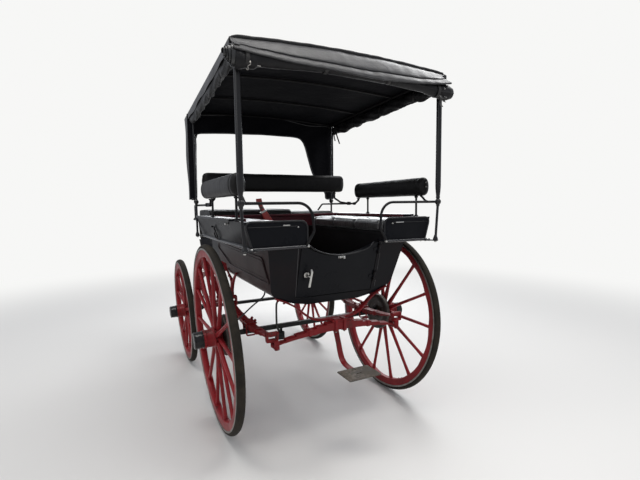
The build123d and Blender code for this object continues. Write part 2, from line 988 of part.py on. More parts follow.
with BuildPart() as canopy_roof:
    for end in (roof_rear, roof_front):
        edge = roof_edge(end)
        half = roof_half(end)
        with BuildSketch(across(end)):
            with BuildLine():
                ThreePointArc((-half, edge), (0, edge + roof_camber), (half, edge))
                Polyline(
                    (half, edge),
                    (half, edge - roof_skirt),
                    (half - roof_sheet, edge - roof_skirt),
                    (half - roof_sheet, edge - roof_sheet),
                )
                ThreePointArc(
                    (half - roof_sheet, edge - roof_sheet),
                    (0, edge + roof_camber - roof_sheet),
                    (roof_sheet - half, edge - roof_sheet),
                )
                Polyline(
                    (roof_sheet - half, edge - roof_sheet),
                    (roof_sheet - half, edge - roof_skirt),
                    (-half, edge - roof_skirt),
                    (-half, edge),
                )
            make_face()
    loft()
    for side in (1, -1):
        for end in (roof_rear, flap_front):
            with BuildSketch(across(end)):
                with Locations(
                    (
                        side * (roof_half(end) - roof_sheet / 2),
                        roof_edge(end) - (side_flap + roof_skirt - 1) / 2,
                    )
                ):
                    Rectangle(roof_sheet, side_flap - roof_skirt + 1)
        loft()
    half = roof_half(roof_rear)
    for end, edge, crown in (
        (roof_rear, roof_rear_z, roof_camber),
        (rear_flap_y, rear_flap_z, -rear_flap_sag),
    ):
        with BuildSketch(across(end)):
            with BuildLine():
                ThreePointArc((-half, edge), (0, edge + crown), (half, edge))
                Line((half, edge), (half, edge - roof_sheet))
                ThreePointArc(
                    (half, edge - roof_sheet),
                    (0, edge + crown - roof_sheet),
                    (-half, edge - roof_sheet),
                )
                Line((-half, edge - roof_sheet), (-half, edge))
            make_face()
    loft()
save(canopy_roof.part, "canopy_roof")

# Rolled curtains: one across the back under the flap and one along each side inside the side flap.
side_roll_reach = roof_over - roof_sheet - side_roll_thick - 0.3
with BuildPart() as side_curtains:
    for y in (post_rear_y - sleeve_radius - 6, post_front_y + 13):
        with BuildSketch(across(y)):
            with Locations(
                (frame_half(y) + side_roll_reach, frame_z(y) - rail_radius - 0.5 - side_roll_half)
            ):
                Ellipse(side_roll_thick, side_roll_half)
    loft()
    mirror(about=Plane.YZ)
save(side_curtains.part, "side_curtains")

with BuildPart() as rear_curtain:
    with BuildSketch(Plane(origin=(-676, 0, 0), x_dir=(0, 1, 0), z_dir=(1, 0, 0))):
        with Locations((at(post_rear_y + sleeve_radius + 0.3 + roll_half_y), roll_z)):
            Ellipse(roll_half_y, roll_half_z)
    extrude(amount=1376)
save(rear_curtain.part, "rear_curtain")

curtain_top = frame_z(curtain_y) - rail_radius - 0.5
with BuildPart() as front_curtain:
    with BuildSketch(across(curtain_y)):
        with BuildLine():
            Polyline(
                (curtain_half, curtain_bottom),
                (curtain_half, curtain_top),
                (-curtain_half, curtain_top),
                (-curtain_half, curtain_bottom),
                (-566, curtain_bottom),
                (-562, 1552),
                (-441, 1713),
                (-338, 2046),
                (594, 2022),
                (610, curtain_bottom),
                close=True,
            )
        make_face()
        fillet(vertices().sort_by_distance(Vector(-338, 2046, 0))[0], curtain_corner)
    extrude(amount=curtain_thick)
    with BuildSketch(along(curtain_half - 6)):
        with BuildLine():
            Polyline(
                (curtain_y, curtain_bottom),
                (curtain_y, curtain_top),
                (-935, curtain_top - 10),
                (-812, curtain_bottom),
                close=True,
            )
        make_face()
    extrude(amount=6)
save(front_curtain.part, "front_curtain")

# Hand lever on the bulkhead, leaning to the vehicle's left.
lever_y = bulkhead_y + 12.3
with BuildPart() as brake_lever:
    with BuildSketch(across(lever_y + 12)):
        with BuildLine():
            Polyline(
                (20, 1250),
                (84, 1250),
                (160, 1412),
                (196, 1462),
                (208, 1496),
                (176, 1500),
                (120, 1424),
                close=True,
            )
        make_face()
    extrude(amount=12)
    with BuildSketch(across(lever_y + 12)):
        with Locations((58, 1290)):
            Circle(20)
    extrude(amount=24)
save(brake_lever.part, "brake_lever")

# Irons under the body, trimmed to its underside: the rear loop, and a hanger for each side spring.
loop_low = cross_top + 0.05
with BuildPart() as loop_iron:
    with BuildSketch(across(loop_y + loop_width / 2)):
        with BuildLine():
            FilletPolyline(
                (-392, 892),
                (-286, 842),
                (-146, loop_low + loop_thick / 2),
                (146, loop_low + loop_thick / 2),
                (286, 842),
                (392, 892),
                radius=34,
            )
        trace(line_width=loop_thick + 0.01)
    extrude(amount=loop_width)
    with Locations((0, at(loop_y - loop_width / 2), loop_low)):
        Box(
            110,
            cross_y + 24 - loop_y + loop_width / 2,
            loop_thick,
            align=(Align.CENTER, Align.MIN, Align.MIN),
        )

hanger_half = spring_width / 2 + 13
fork_gap = spring_width / 2 + 0.5
front_eye = (-side_eye[0], side_eye_z)
with BuildPart() as hanger:
    with BuildSketch(along(spring_x - 22)):
        with BuildLine():
            FilletPolyline(
                (front_eye[0], front_eye[1] + 34),
                (front_eye[0], 850),
                (-spring_half - 65, 900),
                (-spring_half - 177, 942),
                radius=44,
            )
        trace(line_width=30)
        with BuildLine():
            FilletPolyline(
                (front_eye[0], front_eye[1] + 34),
                (front_eye[0], 870),
                (137 - spring_half, 950),
                radius=50,
            )
        trace(line_width=26)
    extrude(amount=26)
    with Locations((spring_x, at(front_eye[0]), front_eye[1])):
        Box(2 * hanger_half, 34, 46, align=(Align.CENTER, Align.CENTER, Align.MIN))
        Cylinder(17, 2 * hanger_half, rotation=(0, 90, 0))
        Box(2 * fork_gap, 40, 2 * (eye_radius + 8), mode=Mode.SUBTRACT)
        Cylinder(pin_radius, 2 * hanger_half + 12, rotation=(0, 90, 0))

with BuildPart() as spring_irons:
    add(loop_iron.part)
    add(hanger.part)
    add(hanger.part.mirror(Plane.YZ))
    add(tub_solid.part, mode=Mode.SUBTRACT)
save(spring_irons.part, "spring_irons")

# Shackles: a fork about the side spring's eye over a fork about the cross spring's eye, at right angles.
upper_y = side_eye[0]
lower_x = cross_eye[0]
bridge_low = cross_eye_z + eye_radius + 9
bridge_high = side_eye_z - eye_radius - 8
with BuildPart() as spring_shackles:
    with Locations((spring_x, at(upper_y), bridge_low)):
        Box(2 * hanger_half, 30, side_eye_z - bridge_low, align=(Align.CENTER, Align.CENTER, Align.MIN))
    with Locations((spring_x, at(upper_y), side_eye_z)):
        Cylinder(15, 2 * hanger_half, rotation=(0, 90, 0))
    with Locations((spring_x, at(upper_y), bridge_high)):
        Box(2 * fork_gap, 60, 120, align=(Align.CENTER, Align.CENTER, Align.MIN), mode=Mode.SUBTRACT)
    with Locations((lower_x, at(cross_y), bridge_high)):
        Box(30, 2 * hanger_half, bridge_high - cross_eye_z, align=(Align.CENTER, Align.CENTER, Align.MAX))
    with Locations((lower_x, at(cross_y), cross_eye_z)):
        Cylinder(15, 2 * hanger_half, rotation=(90, 0, 0))
    with Locations((lower_x, at(cross_y), bridge_low)):
        Box(60, 2 * fork_gap, 120, align=(Align.CENTER, Align.CENTER, Align.MAX), mode=Mode.SUBTRACT)
    with Locations((spring_x, at(upper_y), side_eye_z)):
        Cylinder(pin_radius, 2 * hanger_half + 12, rotation=(0, 90, 0))
    with Locations((lower_x, at(cross_y), cross_eye_z)):
        Cylinder(pin_radius, 2 * hanger_half + 12, rotation=(90, 0, 0))
    mirror(about=Plane.YZ)
save(spring_shackles.part, "spring_shackles")

with BuildPart() as rear_step:
    with BuildSketch(along(5)):
        with BuildLine():
            FilletPolyline(
                (loop_y + 4, loop_low - 0.3),
                (loop_y + 4, 690),
                (loop_y + 106, plate_z - 10),
                (plate_rear - 60, plate_z - 10),
                radius=40,
            )
        trace(line_width=strap_thick)
    extrude(amount=strap_width / 2, both=True)
    with Locations((5, at(plate_rear), plate_z - 6)):
        Box(2 * plate_half, 148, 6, align=(Align.CENTER, Align.MAX, Align.MIN))
save(rear_step.part, "rear_step")

# Each local point: (out along the arm, up the backplate, forward).
hose_foot = rear_frame.from_local_coords(Vector(-plate_offset - 0.3, 78, -44))
hose_turn = rear_frame.from_local_coords(Vector(-plate_offset - 42, 78, -44))
hose_route = [
    (362, 105, 881),
    (362, 105, 850),
    (440, 92, 800),
    (hose_turn.X, hose_turn.Y - rear_axle_y, hose_turn.Z),
    (hose_foot.X, hose_foot.Y - rear_axle_y, hose_foot.Z),
]
with BuildPart() as brake_hoses:
    add(rod(hose_route, 5, [10, 30, 14]))
save(brake_hoses.part, "brake_hoses")

# Turntable: bearers under the boot and footboard, a transom, the king bolt and the upper ring.
bearer_low = ring_z + ring_thick
bed_top = ring_z - ring_gap - ring_thick
with BuildPart() as turntable:
    for side in (1, -1):
        with Locations((side * bearer_x, at(tub_front - 0.3), bearer_low)):
            Box(
                bearer_width,
                tub_front - footboard_front - 20,
                box_floor - bearer_low - 0.3,
                align=(Align.CENTER, Align.MAX, Align.MIN),
            )
    with Locations((0, at(-wheelbase), bearer_low)):
        Box(
            2 * ring_radius + 40,
            90,
            box_floor - bearer_low - 0.3,
            align=(Align.CENTER, Align.CENTER, Align.MIN),
        )
    with Locations((0, at(-wheelbase), ring_z)):
        Cylinder(ring_radius + ring_width / 2, ring_thick, align=(Align.CENTER, Align.CENTER, Align.MIN))
        Cylinder(
            ring_radius - ring_width / 2,
            ring_thick,
            align=(Align.CENTER, Align.CENTER, Align.MIN),
            mode=Mode.SUBTRACT,
        )
    with Locations((0, at(-wheelbase), bed_low - 30)):
        Cylinder(king_radius, box_floor - bed_low, align=(Align.CENTER, Align.CENTER, Align.MIN))
        Cylinder(king_radius + 12, 18, align=(Align.CENTER, Align.CENTER, Align.MIN))
save(turntable.part, "turntable")

with BuildPart() as fore_carriage:
    with BuildSketch(across(-wheelbase + bed_depth / 2)):
        with BuildLine():
            Polyline(
                (-bed_half, bed_low + 36),
                (-bed_half, bed_top),
                (bed_half, bed_top),
                (bed_half, bed_low + 36),
            )
            Line((bed_half, bed_low + 36), (front_spring_x + 35, bed_low))
            Line((front_spring_x + 35, bed_low), (-front_spring_x - 35, bed_low))
            Line((-front_spring_x - 35, bed_low), (-bed_half, bed_low + 36))
        make_face()
    extrude(amount=bed_depth)
    for side in (1, -1):
        with BuildSketch(along(side * futchell_x)):
            with BuildLine():
                Polyline(
                    (futchell_rear, bed_top),
                    (-wheelbase - 240, bed_top),
                    (futchell_front + 90, splinter_top + 46),
                    (futchell_front, splinter_top + 40),
                    (futchell_front, splinter_top),
                    (futchell_front + 90, splinter_top),
                    (-wheelbase - 220, bed_top - 46),
                    (futchell_rear, bed_top - 46),
                    close=True,
                )
            make_face()
        extrude(amount=futchell_width / 2, both=True)
    with Locations((0, at(futchell_rear), bed_top - 46)):
        Box(2 * futchell_x, 40, 46, align=(Align.CENTER, Align.MIN, Align.MIN))
    with Locations((0, at(-wheelbase), bed_top)):
        Cylinder(ring_radius + ring_width / 2, ring_thick, align=(Align.CENTER, Align.CENTER, Align.MIN))
        Cylinder(
            ring_radius - ring_width / 2,
            ring_thick,
            align=(Align.CENTER, Align.CENTER, Align.MIN),
            mode=Mode.SUBTRACT,
        )
        Cylinder(king_radius + king_gap, 400, mode=Mode.SUBTRACT)
save(fore_carriage.part, "fore_carriage")

front_axle_top = front_hub_z + axle_rise + axle_size / 2 + spring_pad
front_half_height = (bed_low - front_axle_top) / 2
front_sag = front_half_height - front_leaves * leaf_thick + leaf_thick / 2 - eye_radius + leaf_thick / 2
front_pack = leaf_pack(front_spring_half, front_sag, front_leaves, leaf_thick, False)
with BuildPart() as front_springs:
    for base, up in ((front_axle_top, 1), (bed_low, -1)):
        main_z = base + up * (front_leaves * leaf_thick - leaf_thick / 2 + 0.05)
        with BuildSketch(
            Plane(origin=(front_spring_x, at(-wheelbase), main_z), x_dir=(0, up, 0), z_dir=(1, 0, 0))
        ):
            add(front_pack)
        extrude(amount=spring_width / 2, both=True)
    mirror(about=Plane.YZ)
save(front_springs.part, "front_springs")

with BuildPart() as splinter_bar:
    with BuildSketch(Plane.XY.offset(splinter_top - 48)):
        with Locations((0, at(splinter_y))):
            SlotOverall(2 * splinter_half, 46)
    extrude(amount=48)
    for x in pin_x:
        with Locations((x, at(splinter_y), splinter_top)):
            Cylinder(trace_pin_radius, trace_pin_length, align=(Align.CENTER, Align.CENTER, Align.MIN))
            Cylinder(trace_pin_radius + 7, 6, align=(Align.CENTER, Align.CENTER, Align.MIN))
save(splinter_bar.part, "splinter_bar")
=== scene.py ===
from math import cos, pi, radians, sin, tan

import bmesh
import bpy
import numpy as np
from bpy.props import FloatProperty, FloatVectorProperty, IntProperty, PointerProperty
from mathutils import Matrix, Vector


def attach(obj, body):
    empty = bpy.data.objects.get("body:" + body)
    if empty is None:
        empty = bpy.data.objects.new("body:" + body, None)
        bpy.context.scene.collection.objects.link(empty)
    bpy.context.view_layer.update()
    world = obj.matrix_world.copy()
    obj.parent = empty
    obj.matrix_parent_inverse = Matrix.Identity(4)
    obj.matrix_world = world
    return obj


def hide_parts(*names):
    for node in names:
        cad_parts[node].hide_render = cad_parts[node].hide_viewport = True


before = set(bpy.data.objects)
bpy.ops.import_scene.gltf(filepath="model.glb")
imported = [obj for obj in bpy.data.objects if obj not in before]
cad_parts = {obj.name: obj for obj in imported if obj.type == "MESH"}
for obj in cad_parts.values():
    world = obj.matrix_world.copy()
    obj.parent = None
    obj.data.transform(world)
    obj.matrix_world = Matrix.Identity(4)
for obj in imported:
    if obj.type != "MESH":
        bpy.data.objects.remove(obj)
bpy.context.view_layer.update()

bl_info = {"name": "Wagonette carriage", "version": (1, 0, 0), "blender": (4, 5, 0),
    "location": "3D View > Sidebar > Carriage",
    "description": "Builds the finished wagonette round its packed frame", "category": "Add Mesh"}

# Lengths in metres. Y is counted from the rear axle in the tables below, rearward positive.
AXLE_Y = 0.57
WHEELBASE = 1.313
REAR_RADIUS, REAR_HALF_TRACK, REAR_SPOKES = 0.6, 0.67, 14
FRONT_RADIUS, FRONT_HALF_TRACK, FRONT_SPOKES = 0.475, 0.66, 12
TYRE_ROUND = 0.026  # radius of the tyre's tread section
CAMBER = radians(3.0)
LEAN = radians(17.5)  # of the rear panel and the door
REAR_FOOT = (0.394, 0.911)  # y and z of the rear panel's lower edge
REAR_OUT = (0, cos(LEAN), -sin(LEAN))  # square to the rear panel
SPRING_X, SPRING_END, EYE_Z = 0.44, 0.435, 0.7025  # a side spring's middle, its rear end and its eyes' height
SHARP = radians(38)  # an edge that turns more than this stays sharp
WELD = 1e-6  # points nearer than this are made one
WORLD_SEEN = (0.93, 0.93, 0.92, 1)
UP = np.array([0.0, 0.0, 1.0])
X_WAY, Y_WAY = np.array([1.0, 0, 0]), np.array([0, 1.0, 0])
GROUPS = {}
FINISHES = {}


def put(x, y, z):
    """A place counted from the rear axle, in the shared frame."""
    return np.array([x, AXLE_Y + y, z])


def place_all(points):
    """Points counted from the rear axle moved into the shared frame."""
    return np.asarray(points, float) + [0, AXLE_Y, 0]


def in_plane(flat, axis, level):
    """Points given by two coordinates, with the same level put in as their coordinate number axis."""
    return np.insert(np.asarray(flat, float), axis, level, axis=1)


def skin(rings, ring_closed=True, path_closed=False):
    """A grid of points, stations by ring places, joined by quads; open ends get a fan to their middle."""
    rings = np.asarray(rings, float)
    n, m = rings.shape[:2]
    i, j = np.meshgrid(np.arange(n if path_closed else n - 1), np.arange(m if ring_closed else m - 1),
        indexing="ij")
    i2, j2 = (i + 1) % n, (j + 1) % m
    quads = np.stack([i * m + j, i * m + j2, i2 * m + j2, i2 * m + j], -1).reshape(-1, 4)
    points = rings.reshape(-1, 3)
    tris = np.zeros((0, 3), int)
    if ring_closed and not path_closed:
        middles = np.stack([rings[0].mean(0), rings[-1].mean(0)])
        k = np.arange(m)
        k2 = (k + 1) % m
        first = np.stack([np.full(m, n * m), k2, k], -1)
        last = np.stack([np.full(m, n * m + 1), (n - 1) * m + k, (n - 1) * m + k2], -1)
        points = np.vstack([points, middles])
        tris = np.vstack([first, last])
    return points, quads, tris


def join(*shapes):
    """Several shapes' points and faces laid one after another."""
    points, quads, tris, start = [], [], [], 0
    for p, q, t in shapes:
        points.append(p)
        quads.append(q + start)
        tris.append(t + start)
        start += len(p)
    return np.vstack(points), np.vstack(quads), np.vstack(tris)


def flip(shape):
    """The shape mirrored to the other side of the vehicle."""
    p, q, t = shape
    return p * np.array([-1.0, 1.0, 1.0]), q[:, ::-1], t[:, ::-1]


def pair(shape):
    """The shape and its mirror image on the other side."""
    return join(shape, flip(shape))


def path_frames(path, up, closed=False):
    """Side and up arrows at each point of a path: side is tangent cross up, and up is made square to both."""
    path = np.asarray(path, float)
    if closed:
        tangent = np.roll(path, -1, 0) - np.roll(path, 1, 0)
    else:
        tangent = np.gradient(path, axis=0)
    tangent /= np.linalg.norm(tangent, axis=1, keepdims=True)
    up = np.broadcast_to(np.asarray(up, float), path.shape)
    side = np.cross(tangent, up)
    side /= np.linalg.norm(side, axis=1, keepdims=True)
    return side, np.cross(side, tangent)


def carry(path, profile, up=(0, 0, 1), closed=False, scale=None):
    """A closed profile (side, up) carried along a path, each station scaled by its own factor."""
    path = np.asarray(path, float)
    side, lift = path_frames(path, up, closed)
    size = np.ones((len(path), 1, 1)) if scale is None else np.asarray(scale, float).reshape(-1, 1, 1)
    profile = np.asarray(profile, float)
    aside, above = size * profile[None, :, :1], size * profile[None, :, 1:]
    return skin(path[:, None] + aside * side[:, None] + above * lift[:, None], True, closed)


def circle(radius, count=12):
    """Points round a circle: radius times the cosine and sine of even angles."""
    angle = np.linspace(0, 2 * pi, count, endpoint=False)
    return radius * np.stack([np.cos(angle), np.sin(angle)], -1)


def round_box(width, height, radius, count=4):
    """A rectangle with quarter-circle corners, as points round its edge."""
    turn = np.linspace(0, pi / 2, count + 1)
    corners = []
    for k, (sx, sy) in enumerate(((1, 1), (-1, 1), (-1, -1), (1, -1))):
        angle = turn + k * pi / 2
        centre = np.array([sx * (width / 2 - radius), sy * (height / 2 - radius)])
        corners.append(centre + radius * np.stack([np.cos(angle), np.sin(angle)], -1))
    return np.vstack(corners)


def bend(points, per_span=8, closed=False):
    """A smooth path through points: each span is the Catmull-Rom cubic of its four nearest points."""
    p = np.asarray(points, float)
    if closed:
        a, b, c, d = np.roll(p, 1, 0), p, np.roll(p, -1, 0), np.roll(p, -2, 0)
    else:
        q = np.vstack([2 * p[0] - p[1], p, 2 * p[-1] - p[-2]])
        a, b, c, d = q[:-3], q[1:-2], q[2:-1], q[3:]
    t = np.linspace(0, 1, per_span, endpoint=False)[None, :, None]
    a, b, c, d = (v[:, None] for v in (a, b, c, d))
    spans = 0.5 * (2 * b + (c - a) * t + (2 * a - 5 * b + 4 * c - d) * t**2 + (3 * b - 3 * c + d - a) * t**3)
    out = spans.reshape(-1, p.shape[1])
    return out if closed else np.vstack([out, p[-1]])


def lathe(profile, origin, axis, count=48, closed_profile=False):
    """A profile (along the axis, away from it) turned about an axis."""
    axis = np.asarray(axis, float) / np.linalg.norm(axis)
    first = np.cross(axis, [0, 1.0, 0] if abs(axis[1]) < 0.999 else [1.0, 0, 0])
    first /= np.linalg.norm(first)
    second = np.cross(axis, first)
    angle = np.linspace(0, 2 * pi, count, endpoint=False)[:, None, None]
    profile = np.asarray(profile, float)
    spin = np.cos(angle) * first + np.sin(angle) * second
    rings = np.asarray(origin, float) + profile[None, :, :1] * axis + profile[None, :, 1:] * spin
    return skin(rings, closed_profile, True)


def block(low, high, radius=0.002):
    """A box with rounded long edges, carried along its longest side."""
    low, high = np.asarray(low, float), np.asarray(high, float)
    size = high - low
    k = int(np.argmax(size))
    a, b = [(1, 2), (0, 2), (0, 1)][k]
    middle = (low + high) / 2
    radius = min(radius, 0.45 * size[a], 0.45 * size[b])
    inset = min(radius, 0.4 * size[k])
    step = np.array([0, inset * 0.3, inset, size[k] - inset, size[k] - inset * 0.3, size[k]])
    shrink = np.array([inset, inset * 0.3, 0, 0, inset * 0.3, inset])
    rings = []
    for along, less in zip(step, shrink):
        shape = round_box(size[a] - 2 * less, size[b] - 2 * less, max(radius - less, radius * 0.2), 3)
        ring = np.zeros((len(shape), 3))
        ring[:, k] = low[k] + along
        ring[:, a] = middle[a] + shape[:, 0]
        ring[:, b] = middle[b] + shape[:, 1]
        rings.append(ring)
    return skin(rings)


def bolt(place, axis, radius=0.008, height=0.006, sides=6):
    """A low hexagon head with a domed end."""
    profile = np.array([[0, radius], [height * 0.7, radius], [height, radius * 0.8], [height * 1.1, 0.0004]])
    return lathe(profile, place, axis, sides)


def new_object(name, data):
    """A new object with this data, linked to the scene."""
    thing = bpy.data.objects.new(name, data)
    bpy.context.scene.collection.objects.link(thing)
    return thing


def make(name, shape, body, finish_name, lining=None, stands_for=None):
    """Puts a shape into a mesh object that rides on a body; lining finishes the second half of a shell,
    and stands_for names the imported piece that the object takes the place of."""
    points, quads, tris = shape
    mesh = bpy.data.meshes.new(name)
    mesh.from_pydata(points.tolist(), [], quads.tolist() + tris.tolist())
    if lining:
        inner = (quads >= len(points) // 2).all(1).astype(int)
        mesh.polygons.foreach_set("material_index", np.concatenate([inner, np.zeros(len(tris), int)]))
    mesh.validate()
    work = bmesh.new()
    work.from_mesh(mesh)
    bmesh.ops.remove_doubles(work, verts=work.verts, dist=WELD)
    bmesh.ops.recalc_face_normals(work, faces=work.faces)
    work.to_mesh(mesh)
    work.free()
    mesh.polygons.foreach_set("use_smooth", np.ones(len(mesh.polygons), bool))
    mesh.set_sharp_from_angle(angle=SHARP)
    thing = new_object(name, mesh)
    for kind in (finish_name, lining) if lining else (finish_name,):
        mesh.materials.append(FINISHES[kind])
    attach(thing, body)
    if stands_for:
        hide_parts(stands_for)
    return thing


def add_node(tree, kind, values=None, links=None, **settings):
    """One node with its settings, socket values by name, and links from other sockets."""
    node = tree.nodes.new(kind)
    for key, value in settings.items():
        setattr(node, key, value)
    for key, value in (values or {}).items():
        node.inputs[key].default_value = value
    for key, source in (links or {}).items():
        tree.links.new(source, node.inputs[key])
    return node


def noise(tree, vector, scale, detail=4.0, rough=0.55):
    """Plain noise at one scale."""
    return add_node(tree, "ShaderNodeTexNoise", {"Scale": scale, "Detail": detail, "Roughness": rough},
        {"Vector": vector}).outputs["Fac"]


def remap(tree, value, low, high):
    """A value's share of the way from low to high, kept within 0 and 1."""
    return add_node(tree, "ShaderNodeMapRange", {"From Min": low, "From Max": high},
        {"Value": value}).outputs["Result"]


def blend_colour(tree, factor, first, second, mode="MIX"):
    """Two colours mixed; each is a socket or a plain colour."""
    node = tree.nodes.new("ShaderNodeMix")
    node.data_type = "RGBA"
    node.blend_type = mode
    for key, value in ((0, factor), (6, first), (7, second)):
        if isinstance(value, bpy.types.NodeSocket):
            tree.links.new(value, node.inputs[key])
        else:
            node.inputs[key].default_value = value if key == 0 else (*value[:3], 1)
    return node.outputs[2]


def effect(name, inputs, outputs):
    """A new shader node group from (name, kind, default) in and (name, kind) out: its tree, its input
    sockets by name, the object's own coordinates, and a call that links its outputs."""
    tree = bpy.data.node_groups.new("Carriage " + name, "ShaderNodeTree")
    for label, kind, value in inputs:
        socket = tree.interface.new_socket(name=label, in_out="INPUT", socket_type=kind)
        socket.default_value = value
    for label, kind in outputs:
        tree.interface.new_socket(name=label, in_out="OUTPUT", socket_type=kind)
    given, result = tree.nodes.new("NodeGroupInput"), tree.nodes.new("NodeGroupOutput")

    def end(**sockets):
        for label, socket in sockets.items():
            tree.links.new(socket, result.inputs[label])
        return tree

    return tree, given.outputs, add_node(tree, "ShaderNodeTexCoord").outputs["Object"], end


def combine(tree, operation, first, second):
    """One sum of two values; each is a socket or a plain number."""
    pair_of = {0: first, 1: second}
    plain = {key: value for key, value in pair_of.items() if isinstance(value, float)}
    return add_node(tree, "ShaderNodeMath", plain, {k: v for k, v in pair_of.items() if k not in plain},
        operation=operation).outputs[0]


def two_bumps(tree, given, broad, far, broad_height, fine, near, fine_height):
    """A broad bump under a fine one; broad and fine name the strengths, far and near are the distances."""
    first = add_node(tree, "ShaderNodeBump", {"Distance": far}, {"Strength": given[broad],
        "Height": broad_height}).outputs["Normal"]
    links = {"Strength": given[fine], "Height": fine_height, "Normal": first}
    return add_node(tree, "ShaderNodeBump", {"Distance": near}, links).outputs["Normal"]


def build_groups():
    """Shared effects. Grime darkens and dulls in soft patches; wear shows a second colour in sharp
    spots; skin is slow waves under specks; grain is a cell pattern with creases; weave is two crossed waves."""
    groups = {}
    colour, number, vector = "NodeSocketColor", "NodeSocketFloat", "NodeSocketVector"
    tree, given, place, end = effect("grime", [("Color", colour, (0.5, 0.5, 0.5, 1)),
        ("Grime", colour, (0.1, 0.09, 0.08, 1)), ("Amount", number, 0.3), ("Scale", number, 6.0),
        ("Roughness", number, 0.4)], [("Color", colour), ("Roughness", number)])
    links = {"Vector": place, "Scale": given["Scale"]}
    soft = add_node(tree, "ShaderNodeTexNoise", {"Detail": 6.0, "Roughness": 0.62}, links).outputs["Fac"]
    amount = combine(tree, "MULTIPLY", remap(tree, soft, 0.38, 0.72), given["Amount"])
    groups["grime"] = end(Color=blend_colour(tree, amount, given["Color"], given["Grime"]),
        Roughness=combine(tree, "ADD", given["Roughness"], combine(tree, "MULTIPLY", amount, 0.35)))

    tree, given, place, end = effect("wear", [("Color", colour, (0.5, 0.5, 0.5, 1)),
        ("Worn", colour, (0.6, 0.6, 0.6, 1)), ("Amount", number, 0.2), ("Scale", number, 60.0)],
        [("Color", colour), ("Mask", number)])
    links = {"Vector": place, "Scale": given["Scale"]}
    fine = add_node(tree, "ShaderNodeTexNoise", {"Detail": 8.0, "Roughness": 0.7}, links).outputs["Fac"]
    both = combine(tree, "MULTIPLY", fine, noise(tree, place, 9.0, 3.0))
    mask = remap(tree, combine(tree, "SUBTRACT", both, combine(tree, "SUBTRACT", 0.46, given["Amount"])), 0.0,
        0.03)
    groups["wear"] = end(Color=blend_colour(tree, mask, given["Color"], given["Worn"]), Mask=mask)

    tree, given, place, end = effect("paint skin", [("Waves", number, 0.05), ("Specks", number, 0.05),
        ("Scale", number, 14.0)], [("Normal", vector)])
    links = {"Vector": place, "Scale": given["Scale"]}
    slow = add_node(tree, "ShaderNodeTexNoise", {"Detail": 2.0}, links).outputs["Fac"]
    groups["skin"] = end(Normal=two_bumps(tree, given, "Waves", 0.01, slow, "Specks", 0.001,
        noise(tree, place, 420.0, 3.0)))

    def creased(name, size, first, detail, bent, low, high, fine_height, far, near):
        """Creases from bent noise under a fine pattern made by fine_height."""
        tree, given, place, end = effect(name, [(size, number, first), ("Depth", number, 0.3),
            ("Creases", number, 0.3)], [("Height", number), ("Normal", vector)])
        fine = fine_height(tree, {"Vector": place, "Scale": given[size]})
        values = {"Scale": detail[0], "Detail": detail[1], "Distortion": bent}
        crease = add_node(tree, "ShaderNodeTexNoise", values, {"Vector": place}).outputs["Fac"]
        fold = remap(tree, crease, low, high)
        return end(Height=fine, Normal=two_bumps(tree, given, "Creases", far, fold, "Depth", near, fine))

    def cells(tree, links):
        return add_node(tree, "ShaderNodeTexVoronoi", {"Randomness": 1.0}, links).outputs["Distance"]

    def threads(tree, links):
        warp, weft = (add_node(tree, "ShaderNodeTexWave", None, links, bands_direction=way).outputs["Fac"]
            for way in "XY")
        return combine(tree, "MAXIMUM", warp, weft)

    groups["grain"] = creased("leather grain", "Cells", 420.0, (16.0, 6.0), 1.4, 0.42, 0.58, cells, 0.006,
        0.0008)
    groups["weave"] = creased("canvas weave", "Threads", 700.0, (9.0, 7.0), 2.0, 0.35, 0.65, threads, 0.01,
        0.0004)
    return groups


def use_group(tree, name, values):
    """A shared effect with its values: each is a socket, a number or a colour."""
    node = tree.nodes.new("ShaderNodeGroup")
    node.node_tree = GROUPS[name]
    for key, value in values.items():
        if isinstance(value, bpy.types.NodeSocket):
            tree.links.new(value, node.inputs[key])
        else:
            node.inputs[key].default_value = (*value[:3], 1) if isinstance(value, tuple) else value
    return node


def finish(name, colour, rough, grime=(0.09, 0.08, 0.07), grimy=0.2, grime_scale=6.0, worn=None, wear=0.0,
        wear_scale=60.0, metal=0.0, coat=0.0, coat_rough=0.1, sheen=0.0, specular=0.5, bump="skin",
        **effect_values):
    """A material: base colour, then wear, then grime, with a bump group's normal."""
    material = bpy.data.materials.new(name)
    material.use_nodes = True
    tree = material.node_tree
    shader = tree.nodes["Principled BSDF"]
    source = tuple(colour)
    if worn:
        source = use_group(tree, "wear", {"Color": tuple(colour), "Worn": worn, "Amount": wear,
            "Scale": wear_scale}).outputs["Color"]
    dirty = use_group(tree, "grime", {"Color": source, "Grime": grime, "Amount": grimy, "Scale": grime_scale,
        "Roughness": rough})
    tree.links.new(dirty.outputs["Color"], shader.inputs["Base Color"])
    tree.links.new(dirty.outputs["Roughness"], shader.inputs["Roughness"])
    for label, value in (("Metallic", metal), ("Coat Weight", coat), ("Coat Roughness", coat_rough),
            ("Sheen Weight", sheen), ("Specular IOR Level", specular)):
        shader.inputs[label].default_value = value
    values = effect_values or {"Waves": 0.04, "Specks": 0.04, "Scale": 9.0}
    tree.links.new(use_group(tree, bump, values).outputs["Normal"], shader.inputs["Normal"])
    FINISHES[name] = material
    return material


def colour_slider(name, about, value):
    """One colour of the panel."""
    return FloatVectorProperty(name=name, description=about, subtype="COLOR", size=3, default=value, min=0,
        max=1)


def length_slider(name, about, value, low, high):
    """One length of the panel, in metres."""
    return FloatProperty(name=name, description=about, default=value, min=low, max=high, subtype="DISTANCE",
        unit="LENGTH")


